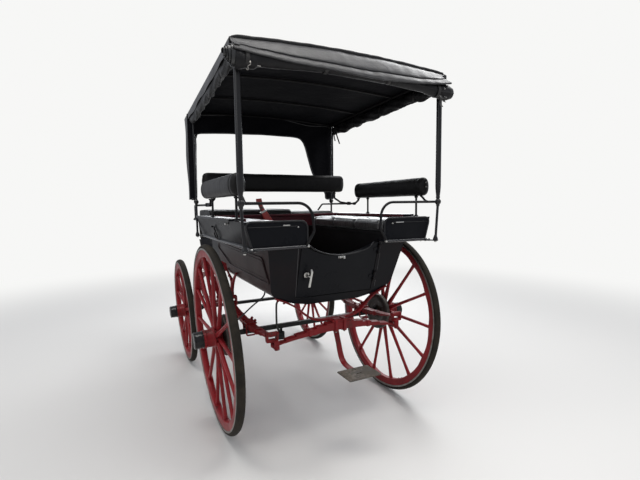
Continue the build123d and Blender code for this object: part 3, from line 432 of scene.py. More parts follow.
class CarriageColours(bpy.types.PropertyGroup):
    red: colour_slider("Wheel red", "Gloss red of the wheels and undercarriage", (0.27, 0.0125, 0.017))
    body: colour_slider("Body black", "Black of the panels, with a little blue in it", (0.0065, 0.007, 0.009))
    side: colour_slider("Side maroon", "Dark maroon of the lower sides", (0.013, 0.0052, 0.006))
    inside: colour_slider("Inside maroon", "Maroon of the inner faces", (0.1, 0.012, 0.02))
    leather: colour_slider("Leather", "Black leather of the seats", (0.009, 0.0085, 0.0085))
    cloth: colour_slider("Canopy cloth", "Coated black cloth of the canopy", (0.0095, 0.0092, 0.0102))


class CarriageSizes(bpy.types.PropertyGroup):
    felloe: length_slider("Felloe width", "Width of the wooden rim", 0.044, 0.02, 0.08)
    spoke: length_slider("Spoke thickness", "Thickness of a spoke at its foot", 0.03, 0.01, 0.06)
    piping: length_slider("Piping", "Radius of the piping on the pads", 0.004, 0.001, 0.01)
    smoothness: IntProperty(name="Rim segments", description="Straight parts that make a wheel's rim",
        default=144, min=24, max=360)


class CARRIAGE_OT_finishes(bpy.types.Operator):
    """Makes the shared effects and every finish"""

    bl_idname = "carriage.finishes"
    bl_label = "Mix the finishes"

    def execute(self, context):
        c = context.scene.carriage_colours
        GROUPS.update(build_groups())
        finish("red_paint", c.red, 0.34, (0.05, 0.012, 0.012), 0.5, 7.0, (0.12, 0.02, 0.02), 0.1, 50.0,
            coat=0.05, specular=0.2)
        finish("red_iron", tuple(v * 0.8 for v in c.red), 0.34, (0.05, 0.015, 0.012), 0.6, 9.0,
            (0.06, 0.03, 0.025), 0.12, 60.0, coat=0.04, specular=0.2)
        finish("body_black", c.body, 0.26, (0.022, 0.022, 0.024), 0.3, 4.0, coat=0.03, coat_rough=0.12,
            specular=0.08, Waves=0.06, Specks=0.05, Scale=5.0)
        finish("side_maroon", c.side, 0.28, (0.022, 0.009, 0.009), 0.3, 4.0, coat=0.02, specular=0.1)
        finish("inside_maroon", c.inside, 0.36, (0.03, 0.01, 0.01), 0.5, 5.0, specular=0.25)
        finish("black_iron", (0.0075, 0.0075, 0.009), 0.34, (0.026, 0.023, 0.02), 0.35, 14.0,
            (0.12, 0.105, 0.1), 0.04, 90.0, specular=0.2)
        finish("leather_black", c.leather, 0.36, (0.02, 0.019, 0.018), 0.35, 7.0, specular=0.15, bump="grain",
            Cells=380.0, Depth=0.3, Creases=0.14)
        finish("cloth_black", c.cloth, 0.42, (0.02, 0.019, 0.019), 0.45, 5.0, specular=0.25, bump="weave",
            Threads=900.0, Depth=0.25, Creases=0.2)
        finish("tyre_rubber", (0.015, 0.0125, 0.0095), 0.75, (0.06, 0.05, 0.036), 0.5, 12.0, specular=0.2,
            Waves=0.02, Specks=0.35, Scale=30.0)
        finish("hub_black", (0.006, 0.006, 0.0065), 0.24, (0.02, 0.018, 0.016), 0.35, 18.0, coat=0.08,
            specular=0.3)
        finish("steel_bright", (0.62, 0.62, 0.6), 0.28, (0.2, 0.17, 0.13), 0.4, 25.0, metal=1.0, Waves=0.02,
            Specks=0.2, Scale=30.0)
        finish("steel_dull", (0.34, 0.33, 0.31), 0.42, (0.09, 0.06, 0.04), 0.6, 20.0, metal=0.9, Waves=0.02,
            Specks=0.3, Scale=30.0)
        # canopy outer face: lighter than the black cloth, partly faded cloth and partly painted sheen from the
        # lamps above
        finish("cloth_outer_faded_and_painted_sheen", (0.028, 0.0275, 0.029), 0.36, (0.055, 0.054, 0.052), 0.35, 7.0, specular=0.36,
            bump="weave", Threads=900.0, Depth=0.2, Creases=0.1)
        finish("cloth_inner", (0.006, 0.006, 0.0075), 0.7, (0.012, 0.012, 0.014), 0.5, 4.0, specular=0.05,
            bump="weave", Threads=900.0, Depth=0.2, Creases=0.16)
        finish("cloth_edge", (0.011, 0.011, 0.0115), 0.3, (0.03, 0.029, 0.028), 0.35, 20.0, specular=0.8,
            bump="weave", Threads=900.0, Depth=0.2, Creases=0.1)
        finish("strap_black", (0.016, 0.015, 0.015), 0.45, (0.05, 0.045, 0.04), 0.5, 22.0, bump="grain",
            Cells=700.0, Depth=0.3, Creases=0.1)
        finish("bead_black", (0.014, 0.014, 0.018), 0.26, (0.04, 0.038, 0.04), 0.35, 16.0, (0.3, 0.29, 0.28),
            0.08, 70.0, coat=0.3)
        finish("edge_worn", (0.02, 0.02, 0.022), 0.34, (0.05, 0.048, 0.045), 0.25, 16.0, (0.34, 0.33, 0.32),
            0.07, 70.0, specular=0.3)
        finish("board_varnish", (0.03, 0.027, 0.026), 0.24, (0.06, 0.055, 0.05), 0.4, 8.0, (0.12, 0.06, 0.05),
            0.08, 30.0, coat=0.6, coat_rough=0.16)
        finish("post_black", (0.008, 0.008, 0.0095), 0.26, (0.022, 0.02, 0.019), 0.35, 14.0, (0.1, 0.09, 0.085),
            0.05, 90.0, coat=0.12, coat_rough=0.1, specular=0.35)
        finish("lever_red", (0.52, 0.034, 0.026), 0.34, (0.08, 0.015, 0.012), 0.45, 14.0, (0.1, 0.03, 0.02),
            0.14, 50.0, coat=0.35)
        finish("plate_brown", (0.02, 0.013, 0.011), 0.36, (0.05, 0.035, 0.025), 0.6, 12.0, (0.1, 0.06, 0.04),
            0.12, 40.0, specular=0.35, Waves=0.03, Specks=0.3, Scale=20.0)
        finish("step_brown", (0.05, 0.041, 0.033), 0.5, (0.09, 0.075, 0.055), 0.6, 16.0, (0.13, 0.11, 0.09),
            0.2, 60.0, specular=0.3, Waves=0.03, Specks=0.35, Scale=24.0)
        # painted_shade_black: near black standing in for the shade that falls in the well on the benches, and
        # under the roof on the canopy bows
        finish("painted_shade_black", (0.006, 0.0055, 0.006), 0.5, (0.02, 0.018, 0.018), 0.4, 5.0, specular=0.2)
        # bench seats: the black leather lightened as a painted reflection of window light on the cushion tops,
        # under a real glossy coat
        finish("seat_gloss_painted_reflection", (0.014, 0.013, 0.0125), 0.3, (0.035, 0.033, 0.031), 0.4, 7.0, specular=0.8,
            coat=0.9, coat_rough=0.16, sheen=0.2, bump="grain", Cells=380.0, Depth=0.3, Creases=0.3)
        # brake drums: dark iron, partly their rusty colour and partly painted shade from lying behind the wheel
        finish("drum_iron_rusty_and_shaded", (0.075, 0.068, 0.06), 0.4, (0.035, 0.024, 0.017), 0.6, 20.0, metal=0.6, Waves=0.02,
            Specks=0.3, Scale=30.0)
        finish("hose_black", (0.012, 0.012, 0.012), 0.45, (0.05, 0.045, 0.04), 0.3, 20.0, Waves=0.0, Specks=0.2,
            Scale=30.0)
        return {"FINISHED"}


# the pieces of the frame that show; all others have their own piece in this script
NODE_FINISH = {"tub": "side_maroon", "side_panels": "body_black", "end_panels": "body_black",
    # benches and canopy_frame take the near-black painted shade finish
    "benches": "painted_shade_black", "seat_irons": "black_iron", "bulkhead": "inside_maroon",
    "driver_box": "body_black", "footboard": "body_black", "dash": "leather_black",
    "canopy_frame": "painted_shade_black", "side_springs": "red_iron", "cross_spring": "red_iron",
    "rear_axle": "black_iron", "turntable": "red_iron", "rear_door": "body_black",
    "fore_carriage": "red_paint", "front_springs": "red_iron", "front_axle": "black_iron"}


def two_tone(source, name, colour, where):
    """A copy of a finish with a second colour on some faces: the leaning rear one, those that look ahead,
    or all that look ahead, up or inward."""
    material = source.copy()
    material.name = name
    tree = material.node_tree
    dirty = next(n for n in tree.nodes if n.type == "GROUP" and "Grime" in n.inputs)
    spot = add_node(tree, "ShaderNodeTexCoord").outputs["Object"]
    place = add_node(tree, "ShaderNodeSeparateXYZ", None, {0: spot})
    facing = add_node(tree, "ShaderNodeNewGeometry").outputs["Normal"]
    look = add_node(tree, "ShaderNodeSeparateXYZ", None, {0: facing})
    if where == "rear":
        leant = combine(tree, "MULTIPLY", place.outputs["Z"], -tan(LEAN))
        back = combine(tree, "ADD", place.outputs["Y"], leant)
        edge = AXLE_Y + REAR_FOOT[0] - REAR_FOOT[1] * tan(LEAN)
        mask = remap(tree, back, edge - 0.0045, edge - 0.0035)
    else:
        mask = remap(tree, look.outputs["Y"], -0.75, -0.9)
    if where == "inner":
        inward = remap(tree, combine(tree, "MULTIPLY", place.outputs["X"], look.outputs["X"]), -0.05, -0.12)
        floor = remap(tree, look.outputs["Z"], 0.93, 0.97)
        mask = combine(tree, "MAXIMUM", combine(tree, "MAXIMUM", inward, floor), mask)
    first = dirty.inputs["Color"]
    source_colour = first.links[0].from_socket if first.links else tuple(first.default_value)[:3]
    tree.links.new(blend_colour(tree, mask, source_colour, tuple(colour)), first)
    return material


class CARRIAGE_OT_paint_frame(bpy.types.Operator):
    """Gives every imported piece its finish"""

    bl_idname = "carriage.paint_frame"
    bl_label = "Paint the frame"

    def execute(self, context):
        for name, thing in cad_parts.items():
            thing.data.materials.clear()
            thing.data.materials.append(FINISHES[NODE_FINISH.get(name, "steel_dull")])
        c = context.scene.carriage_colours
        # dark is painted shade: the tub's inward faces and its floor are painted near black for the shade
        # inside the well
        dark = (0.005, 0.0048, 0.005)
        tub = two_tone(two_tone(FINISHES["side_maroon"], "tub_paint", c.body, "rear"), "tub_paint_shaded_inside", dark,
            "inner")
        maroon = tuple(v * 0.5 for v in c.inside)
        panels = two_tone(FINISHES["body_black"], "panel_paint", maroon, "inner")
        ends = two_tone(FINISHES["body_black"], "end_paint", maroon, "ahead")
        for name, paint in (("tub", tub), ("side_panels", panels), ("end_panels", ends)):
            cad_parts[name].data.materials[0] = paint
        return {"FINISHED"}


class CARRIAGE_OT_hose(bpy.types.Operator):
    """The flexible brake hose between the floor and the left backplate"""

    bl_idname = "carriage.hose"
    bl_label = "Hang the brake hose"

    def execute(self, context):
        route = [(0.362, 0.105, 0.881), (0.362, 0.105, 0.85), (0.44, 0.092, 0.8), (0.5483, 0.044, 0.6837),
            (0.5899, 0.044, 0.6815)]
        curve = bpy.data.curves.new("brake_hose", "CURVE")
        curve.dimensions = "3D"
        curve.bevel_depth = 0.005
        curve.bevel_resolution = 4
        curve.resolution_u = 16
        curve.use_fill_caps = True
        line = curve.splines.new("NURBS")
        line.points.add(len(route) - 1)
        for point, place in zip(line.points, route):
            point.co = (*put(*place), 1)
        line.order_u = 3
        line.use_endpoint_u = True
        hose = new_object("brake_hose", curve)
        curve.materials.append(FINISHES["hose_black"])
        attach(hose, "body")
        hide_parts("brake_hoses")
        tuple(float(v) for v in put(*route[0]))
        return {"FINISHED"}


def wheel_place(side, rear):
    """Hub middle and outward axis of one wheel, leaning by the camber."""
    radius, half = (REAR_RADIUS, REAR_HALF_TRACK) if rear else (FRONT_RADIUS, FRONT_HALF_TRACK)
    height = (radius - TYRE_ROUND) * cos(CAMBER) + TYRE_ROUND
    origin = put(side * half, 0.0 if rear else -WHEELBASE, height)
    return origin, np.array([side * cos(CAMBER), 0, -sin(CAMBER)]), radius


def round_of(axis):
    """Two arrows square to the axle: up in the wheel's plane, and the third one."""
    up = UP - axis * (UP @ axis)
    up /= np.linalg.norm(up)
    return up, np.cross(axis, up)


def spot_round(origin, axis, angle, away, along=0.0):
    """A place at an angle round an axle, some way from it and along it, and the arrow that points there."""
    up, third = round_of(axis)
    arrow = cos(angle) * up + sin(angle) * third
    return origin + away * arrow + along * axis, arrow


def ring_shape(origin, axis, profile, count, swell=None):
    """A closed profile (along, away) turned about the axis; swell adds (along, away) per angle and point."""
    up, third = round_of(axis)
    angle = np.linspace(0, 2 * pi, count, endpoint=False)
    grid = np.broadcast_to(profile, (count, *profile.shape)).copy()
    if swell is not None:
        grid += swell(angle)
    spin = np.cos(angle)[:, None, None] * up + np.sin(angle)[:, None, None] * third
    rings = origin + grid[..., :1] * axis + grid[..., 1:] * spin
    return skin(rings, True, True)


def spoke_shape(origin, axis, angle, foot, foot_out, tip, thick):
    """A spoke: superellipses whose half widths run through a short table from the nave to the rim;
    foot_out is how far its foot stands off the wheel's plane."""
    up, third = round_of(axis)
    away = cos(angle) * up + sin(angle) * third
    across_way = -sin(angle) * up + cos(angle) * third
    table = np.array([  # one row per place along the spoke
        # share of length, half width across, half width along the axle, squareness
        [0.0, 1.1, 0.86, 3.4], [0.07, 1.1, 0.9, 3.2], [0.16, 0.96, 0.95, 2.7], [0.3, 0.8, 0.86, 2.2],
        [0.55, 0.74, 0.8, 2.0], [0.8, 0.7, 0.76, 2.0], [0.92, 0.74, 0.8, 2.2], [0.97, 0.82, 0.86, 2.6],
        [1.0, 0.84, 0.88, 2.8],
    ])
    share = np.linspace(0, 1, 26)
    wide, deep, square = (np.interp(share, table[:, 0], table[:, k])[:, None] for k in (1, 2, 3))
    turn = np.linspace(0, 2 * pi, 16, endpoint=False)[None]
    side_part = np.sign(np.cos(turn)) * np.abs(np.cos(turn)) ** (2 / square) * wide * thick / 2
    deep_part = np.sign(np.sin(turn)) * np.abs(np.sin(turn)) ** (2 / square) * deep * thick / 2
    reach, lean = foot + (tip - foot) * share, foot_out - foot_out * share
    middle = origin + reach[:, None] * away + lean[:, None] * axis
    rings = middle[:, None] + side_part[..., None] * across_way + deep_part[..., None] * axis
    return skin(rings)


class CARRIAGE_OT_wheels(bpy.types.Operator):
    """Rubber-tyred wooden wheels: channel, felloes, oval spokes, turned nave, cap and brake drum"""

    bl_idname = "carriage.wheels"
    bl_label = "Build the wheels"

    def execute(self, context):
        sizes = context.scene.carriage_sizes
        count = sizes.smoothness
        wide = sizes.felloe / 2
        for rear in (True, False):
            for side, hand in ((1, "left"), (-1, "right")):
                place = "rear" if rear else "front"
                body = f"{place}_wheel_{hand}"
                origin, axis, radius = wheel_place(side, rear)
                spokes = REAR_SPOKES if rear else FRONT_SPOKES
                rim = radius - 0.034
                inner = rim - 0.048

                turn = np.linspace(0.19 * pi, 0.81 * pi, 11)
                across = np.clip(0.0255 * np.cos(turn) * 1.08, -0.0228, 0.0228)
                tread = np.stack([across, radius - TYRE_ROUND + TYRE_ROUND * np.sin(turn)], -1)
                wall = np.array([[-0.0228, -0.0165], [-0.0216, -0.0175], [-0.0228, -0.019], [-0.0226, -0.0305]])
                walls = np.vstack([wall, wall[::-1] * [-1, 1]]) + [0, radius]
                tyre = ring_shape(origin, axis, np.vstack([tread, walls]), count)
                make(f"tyre_{place}_{hand}", tyre, body, "tyre_rubber",
                    stands_for=f"{place}_tyre_{hand}")

                outer = np.array([[-0.0246, 0.011], [-0.0252, 0.01], [-0.0252, 0.0006], [-0.0246, 0]])
                trough = np.array([[0.0228, 0.0106], [0.0228, 0.003]])
                channel = np.vstack([outer, outer[::-1] * [-1, 1], trough, trough[::-1] * [-1, 1]]) + [0, rim]
                make(f"channel_{place}_{hand}", ring_shape(origin, axis, channel, count), body, "steel_dull")

                pitch = 2 * pi / spokes
                corner = np.linspace(0, pi / 2, 5)
                low = np.stack([1 - np.cos(corner), 1 - np.sin(corner)], -1)
                base = np.array([[-wide + 0.002, rim], [-wide, rim - 0.002], *[[-wide, inner]] * 5,
                    *[[wide, inner]] * 5, [wide, rim - 0.002], [wide - 0.002, rim]])
                weight = np.zeros((len(base), 2))
                weight[2:7] = low
                weight[7:12] = low[::-1] * [-1, 1]

                def chamfer(angle):
                    near = np.abs((angle / pitch) % 1 - 0.5) * 2
                    size = 0.004 + 0.009 * np.clip(1.25 * near**0.8, 0, 1) * np.clip(near * 4 - 0.6, 0, 1)
                    return size[:, None, None] * weight[None]

                parts = [ring_shape(origin, axis, base, spokes * 12, chamfer)]
                for k in range(spokes):
                    angle = pitch * (k + 0.5)
                    lean = 0.007 * (1 if k % 2 else -1)
                    parts.append(spoke_shape(origin, axis, angle, 0.05, -0.014 + lean, inner + 0.004,
                        sizes.spoke))
                make(f"woodwork_{place}_{hand}", join(*parts), body, "red_paint")

                nave = [[-0.045, 0.0235], [-0.045, 0.046], [-0.043, 0.0495], [-0.04, 0.0505], [-0.0365, 0.0505],
                    [-0.0365, 0.071], [-0.0355, 0.0725], [-0.033, 0.0725], [-0.0318, 0.071], [-0.031, 0.058],
                    [0.004, 0.058], [0.005, 0.071], [0.0062, 0.0725], [0.0085, 0.0725], [0.0098, 0.0705],
                    [0.0115, 0.0625], [0.016, 0.059], [0.028, 0.057], [0.05, 0.0552], [0.057, 0.0552],
                    [0.0585, 0.0585], [0.061, 0.0597], [0.064, 0.0597], [0.0665, 0.0585], [0.068, 0.0552],
                    [0.0745, 0.0548], [0.075, 0.0535], [0.075, 0.0235]]
                bolts = [lathe(nave, origin, axis, 64, True)]
                for k in range(0, spokes, 2):
                    spot = spot_round(origin, axis, pitch * k, 0.066)[0]
                    for along, way in ((0.009, axis), (-0.0362, -axis)):
                        bolts.append(bolt(spot + along * axis, way, 0.0048, 0.0042))
                for k in range(0, spokes, 2):
                    for aside in (-0.035, 0.035):
                        spot, away = spot_round(origin, axis, pitch * k + aside, inner + 0.0008)
                        bolts.append(bolt(spot, -away, 0.0052, 0.0045))
                make(f"nave_{place}_{hand}", join(*bolts), body, "red_iron",
                    stands_for=f"{place}_wheel_{hand}")

                cap = [[0.0752, 0.02], [0.0752, 0.0535], [0.0765, 0.056], [0.079, 0.0565], [0.0812, 0.055],
                    [0.082, 0.052], [0.084, 0.0515], [0.086, 0.053], [0.118, 0.052], [0.1225, 0.0512],
                    [0.124, 0.0525], [0.1262, 0.053], [0.129, 0.052], [0.1325, 0.0485], [0.1338, 0.044],
                    [0.1332, 0.04], [0.131, 0.037], [0.1305, 0.02], [0.1318, 0.015], [0.132, 0.0006]]
                make(f"cap_{place}_{hand}", lathe(cap, origin, axis, 64), body, "hub_black",
                    stands_for=f"{place}_cap_{hand}")
                if rear:
                    drum = [[-0.0775, 0.124], [-0.078, 0.1325], [-0.076, 0.1335], [-0.0725, 0.1335],
                        [-0.0715, 0.131], [-0.064, 0.1308], [-0.054, 0.1308], [-0.0505, 0.1285],
                        [-0.0495, 0.124], [-0.049, 0.09], [-0.0475, 0.086], [-0.0455, 0.052], [-0.0455, 0.024],
                        [-0.052, 0.024], [-0.056, 0.09], [-0.056, 0.124]]
                    make(f"drum_{hand}", lathe(drum, origin, axis, 72, True), body, "drum_iron_rusty_and_shaded",
                        stands_for=f"brake_drum_{hand}")
        return {"FINISHED"}


def shell(grid, thick):
    """A sheet with thickness: the grid, a copy moved back along the surface's own normals, and a rim."""
    n, m = grid.shape[:2]
    normal = np.cross(np.gradient(grid, axis=0), np.gradient(grid, axis=1))
    normal /= np.maximum(np.linalg.norm(normal, axis=2, keepdims=True), 1e-9)
    points = np.stack([grid, grid - thick * normal]).reshape(-1, 3)
    index = np.arange(n * m).reshape(n, m)
    face = np.stack([index[:-1, :-1], index[:-1, 1:], index[1:, 1:], index[1:, :-1]], -1).reshape(-1, 4)
    edge = np.concatenate([index[0, :], index[1:, -1], index[-1, -2::-1], index[-2:0:-1, 0]])
    after = np.roll(edge, -1)
    rim = np.stack([edge, after, after + n * m, edge + n * m], -1)
    return points, np.vstack([face, face[:, ::-1] + n * m, rim]), np.zeros((0, 3), int)


def ripple(points, seed, waves, longest, shortest, squash=(1, 1, 1)):
    """Soft unevenness: a sum of sine waves of seeded directions and lengths, about -1 to 1."""
    dice = np.random.default_rng(seed)
    way = dice.normal(size=(waves, 3)) * np.asarray(squash)
    way /= np.linalg.norm(way, axis=1, keepdims=True)
    length = longest * (shortest / longest) ** dice.random(waves)
    phase = dice.random(waves) * 2 * pi
    wave = np.sin((points @ way.T) * (2 * pi / length) + phase) * (length / longest) ** 0.5
    return wave.sum(-1) / waves**0.5


def canopy_edge(y):
    """Height of the canopy's side edge: a straight rise toward the rear."""
    return 2.166 + 0.071 * (np.asarray(y) + 0.945) / 1.5604


def canopy_half(y):
    """Half width of the canopy: a straight widening toward the rear."""
    return 0.6563 + 0.0287 * (np.asarray(y) + 0.775) / 1.373


def roof_sheet():
    """The canopy cloth in one piece: an arc across, sagging between the bows, turned down all round."""
    y = np.concatenate([np.linspace(-0.945, -0.775, 22), np.linspace(-0.765, 0.6154, 160)])
    top = np.linspace(-1, 1, 93)
    round_off = np.linspace(0.12, 1, 6) * pi / 2
    drop = np.linspace(0.1, 1, 12)
    half, edge = canopy_half(y)[:, None], canopy_edge(y)[:, None]
    radius = 0.011
    depth = np.interp(y, [-0.945, -0.785, -0.76, 0.6154], [0.012, 0.012, 0.06, 0.062])[:, None]
    depth = depth * (1 + 0.06 * np.sin(y * 11.0 + 0.6)[:, None])
    x_top = top[None] * (half - radius)
    z_top = edge + 0.027 * (1 - top[None] ** 2)
    x_turn = half - radius + radius * np.sin(round_off)[None]
    z_turn = edge - radius + radius * np.cos(round_off)[None]
    x_flap = half + 0.0035 * np.sin(y * 17.0)[:, None] * drop[None] ** 1.5
    z_flap = edge - radius - (depth - radius) * drop[None]
    x = np.concatenate([-x_flap[:, ::-1], -x_turn[:, ::-1], x_top, x_turn, x_flap], 1)
    z = np.concatenate([z_flap[:, ::-1], z_turn[:, ::-1], z_top, z_turn, z_flap], 1)
    grid = np.stack([x, np.broadcast_to(y[:, None], x.shape), z], -1)
    bows = np.array([-0.945, -0.775, -0.33, 0.13, 0.598, 0.6154])
    k = np.clip(np.searchsorted(bows, y) - 1, 0, 4)
    share = (y - bows[k]) / (bows[k + 1] - bows[k])
    sag = np.where(bows[k + 1] - bows[k] > 0.1, 4 * share * (1 - share), 0)[:, None]
    inner = np.clip(1 - np.abs(x) / half, 0, 1) ** 0.5
    grid[..., 2] -= 0.007 * sag * inner
    grid[..., 2] += 0.0012 * ripple(grid, 5, 24, 0.5, 0.05) * np.minimum(1, inner * 4)
    lip = np.linspace(0, 1, 6)[1:, None]
    front = grid[:1].repeat(5, 0)
    front[..., 2] -= 0.012 * lip
    front[..., 1] -= 0.0008 * lip
    rear = grid[-1:].repeat(5, 0)
    wide = np.abs(rear[..., 0]) < half[-1] - 0.004
    rear[..., 2] -= np.where(wide, 0.024, 0.0) * lip
    rear[..., 1] += 0.0015 * lip
    grid = np.concatenate([front[::-1], grid, rear])
    return grid + [0, AXLE_Y, 0]


def valance_sheet():
    """Cloth hung behind the roof's rear edge: a crowned band, a long crease, a second band, a folded hem."""
    x = np.linspace(-0.683, 0.683, 220)
    share = x / 0.685
    top = 2.2335 + 0.027 * (1 - share**2)
    crease = np.interp(x, [-0.683, -0.603, -0.425, -0.1, 0.26, 0.45, 0.6, 0.683],
        [2.192, 2.184, 2.168, 2.163, 2.166, 2.172, 2.181, 2.188])
    hem = np.interp(x, [-0.683, -0.653, -0.412, -0.163, 0.063, 0.268, 0.431, 0.572, 0.683],
        [2.16, 2.156, 2.133, 2.12, 2.126, 2.131, 2.136, 2.147, 2.157])
    ends = 1 - np.abs(share) ** 6
    rows = [(0.6125 + 0 * x, top - 0.001), (0.6185 + 0 * x, top - 0.004), (0.632 + 0.012 * ends,
        top * 0.72 + crease * 0.28), (0.65 + 0.016 * ends, top * 0.3 + crease * 0.7),
        (0.664 + 0.01 * ends, crease + 0.006), (0.6655 + 0.006 * ends, crease),
        (0.672 + 0.006 * ends, crease - 0.006), (0.683 + 0.004 * ends, hem * 0.55 + crease * 0.45),
        (0.69 + 0 * x, hem + 0.008), (0.6915 + 0 * x, hem), (0.688 + 0 * x, hem - 0.002),
        (0.68 + 0 * x, hem + 0.001), (0.655 + 0 * x, hem + 0.006)]
    taken_in = 0.055 * np.clip((-0.53 - x) / 0.153, 0, 1) ** 2
    shares = (0, 0.25, 0.75, 1.1, 1.15, 1.1, 0.9, 0.65, 0.5, 0.5, 0.5, 0.5, 0.5)
    table = np.stack([np.stack([x + taken_in * part, y, z], -1) for (y, z), part in zip(rows, shares)])
    grid = bend(table.reshape(len(rows), -1), 6).reshape(-1, len(x), 3)
    push = ripple(grid, 11, 22, 0.55, 0.06, (1, 0.4, 0.4)) * np.clip(ends, 0, 1)
    grid[..., 1] += 0.0022 * push
    grid[..., 2] += 0.0012 * push
    return grid + [0, AXLE_Y, 0]


SIDE_STRAPS = (0.36, -0.02, -0.4)  # where straps draw the side curtains in
ROLL_X = np.array([-0.699, -0.69, -0.655, -0.59, -0.538, -0.47, -0.3, -0.05, 0.2, 0.42, 0.555, 0.575, 0.62,
    0.672])
ROLL_Z = np.array([2.115, 2.116, 2.116, 2.115, 2.12, 2.128, 2.136, 2.1425, 2.15, 2.144, 2.141, 2.134, 2.132,
    2.131])
ROLL_R = np.array([0.012, 0.03, 0.043, 0.041, 0.037, 0.03, 0.026, 0.026, 0.03, 0.036, 0.038, 0.044, 0.048,
    0.0515])


def rear_roll():
    """The rear curtain rolled up: a cylinder whose radius follows a table, with a wound-on edge and creases."""
    x = np.linspace(-0.699, 0.672, 300)
    turn = np.linspace(0, 2 * pi, 96, endpoint=False)
    size, height = np.interp(x, ROLL_X, ROLL_R), np.interp(x, ROLL_X, ROLL_Z)
    start = 0.55 + 0.25 * np.sin(x * 3.1) + 0.9 * x
    wound = ((turn[None] - start[:, None]) / (2 * pi)) % 1
    lip = 0.0035 * (1 - np.clip(wound / 0.05, 0, 1)) + 0.0015 * np.cos(2 * turn[None] + 4 * x[:, None])
    cinch = sum(np.exp(-(((x - c) / 0.018) ** 2)) for c in (0.615, -0.57, 0.19, -0.21))
    radius = size[:, None] * (1 - 0.12 * cinch[:, None]) + lip
    y = 0.648 - 0.4 * np.clip(size[:, None] - 0.042, 0, 1) + radius * 0.9 * np.cos(turn)[None]
    z = height[:, None] + radius * np.sin(turn)[None]
    grid = np.stack([np.broadcast_to(x[:, None], y.shape), y, z], -1)
    crease = ripple(grid, 21, 26, 0.3, 0.02, (1.0, 2.2, 2.2))
    out = np.stack([0 * y, np.broadcast_to(np.cos(turn), y.shape), np.broadcast_to(np.sin(turn), y.shape)], -1)
    grid = grid + 0.0022 * crease[..., None] * out
    return skin(grid + [0, AXLE_Y, 0])


def roll_end():
    """The telescoped end of the roll: a spiral band whose edge stands further out toward the middle."""
    turn = np.linspace(0, 4.6 * 2 * pi, 420)
    share = turn / turn[-1]
    radius = 0.053 - 0.043 * share
    reach = 0.676 + 0.054 * share**0.8 + 0.002 * np.sin(turn * 1.7)
    across = np.linspace(0, 1, 9)
    x = 0.65 + (reach[:, None] - 0.65) * across[None]
    squeeze = 1 + 0.06 * np.sin(turn * 2 + 0.4)
    y = 0.646 + (0.9 * radius * squeeze * np.cos(turn + 0.8))[:, None] + 0.002 * across[None]
    rise = 2.139 + 0.013 * share + radius * (1.08 - 0.03 * np.sin(turn)) * np.sin(turn + 0.8)
    z = rise[:, None] + 0 * across[None]
    return shell(np.stack([x, y + AXLE_Y, z], -1), 0.0028)


def side_roll():
    """A side curtain bunched up under the rail: an upright oval carried forward, cinched at its straps."""
    y = np.linspace(0.622, -0.764, 420)
    turn = np.linspace(0, 2 * pi, 72, endpoint=False)
    half, edge = canopy_half(y) - 0.04, canopy_edge(y)
    ends = np.clip((0.624 - y) / 0.03, 0, 1) ** 0.5 * np.clip((y + 0.768) / 0.05, 0, 1) ** 0.5
    cinch = sum(np.exp(-(((y - c) / 0.022) ** 2)) for c in SIDE_STRAPS)
    bulge = 1 + 0.3 * np.exp(-(((y - 0.575) / 0.05) ** 2)) + 0.07 * np.sin(y * 14 + 1) + 0.05 * np.sin(y * 31)
    tall = 0.04 * bulge * (1 - 0.2 * cinch) * ends
    wide = 0.0215 * (1 + 0.1 * np.sin(y * 19 + 2)) * (1 - 0.15 * cinch) * ends
    slow, quick = 2 * turn[None] + 26 * y[:, None], 5 * turn[None] - 38 * y[:, None] + 1.3
    pleat = 0.1 * np.sin(slow) + 0.07 * np.sin(quick)
    radius = 1 + pleat * (1 - 0.6 * np.clip(cinch, 0, 1))[:, None]
    x = half[:, None] + 0.0135 + wide[:, None] * radius * np.cos(turn)[None]
    z = (edge - 0.02 - 0.0425)[:, None] + tall[:, None] * radius * np.sin(turn)[None]
    z = z - 0.006 * np.sin(np.clip((y + 0.76) / 1.38, 0, 1) * 3 * pi)[:, None] ** 2
    x = np.minimum(x, (canopy_half(y) - 0.0062)[:, None])
    grid = np.stack([x, np.broadcast_to(y[:, None], x.shape), z], -1)
    fold = ripple(grid, 31, 30, 0.2, 0.02, (1.6, 1.0, 1.6))
    grid[..., 0] += 0.0022 * fold * np.cos(turn)[None] * (x < (canopy_half(y) - 0.009)[:, None])
    grid[..., 2] += 0.0028 * fold * np.sin(turn)[None]
    return skin(grid + [0, AXLE_Y, 0])


def band_round(path, width, thick, up):
    """A flat strap: a thin rounded strip carried along a path."""
    return carry(path, round_box(thick, width, thick * 0.45, 2), up)


def strap_loop(middle, side, reach, rise, half_thick, half_wide, along):
    """A flat strap round a roll: a thin rectangle carried round an ellipse of a reach aside and a rise."""
    turn = np.linspace(0, 2 * pi, 49)[:-1, None]
    arrow = np.cos(turn) * side + np.sin(turn) * UP
    loop = middle + reach * np.cos(turn) * side + rise * np.sin(turn) * UP
    flat = np.array([[-1, -1], [1, -1], [1, 1], [-1, 1]]) * [half_thick, half_wide]
    return skin(loop[:, None] + flat[None, :, :1] * arrow[:, None] + flat[None, :, 1:] * along, True, True)


def opening_edge():
    """The front curtain's lower edge, from its right side to its left, as (x, z)."""
    corners = [[-0.66, 1.492], [-0.62, 1.491], [-0.572, 1.495], [-0.562, 1.545], [-0.52, 1.607],
        [-0.447, 1.712], [-0.404, 1.845], [-0.366, 1.962], [-0.338, 2.012], [-0.3, 2.036], [-0.23, 2.043],
        [-0.08, 2.046], [0.1, 2.043], [0.3, 2.036], [0.48, 2.027], [0.57, 2.018], [0.592, 1.995], [0.597, 1.93],
        [0.603, 1.7], [0.609, 1.51], [0.622, 1.493], [0.66, 1.492]]
    return bend(corners, 14)


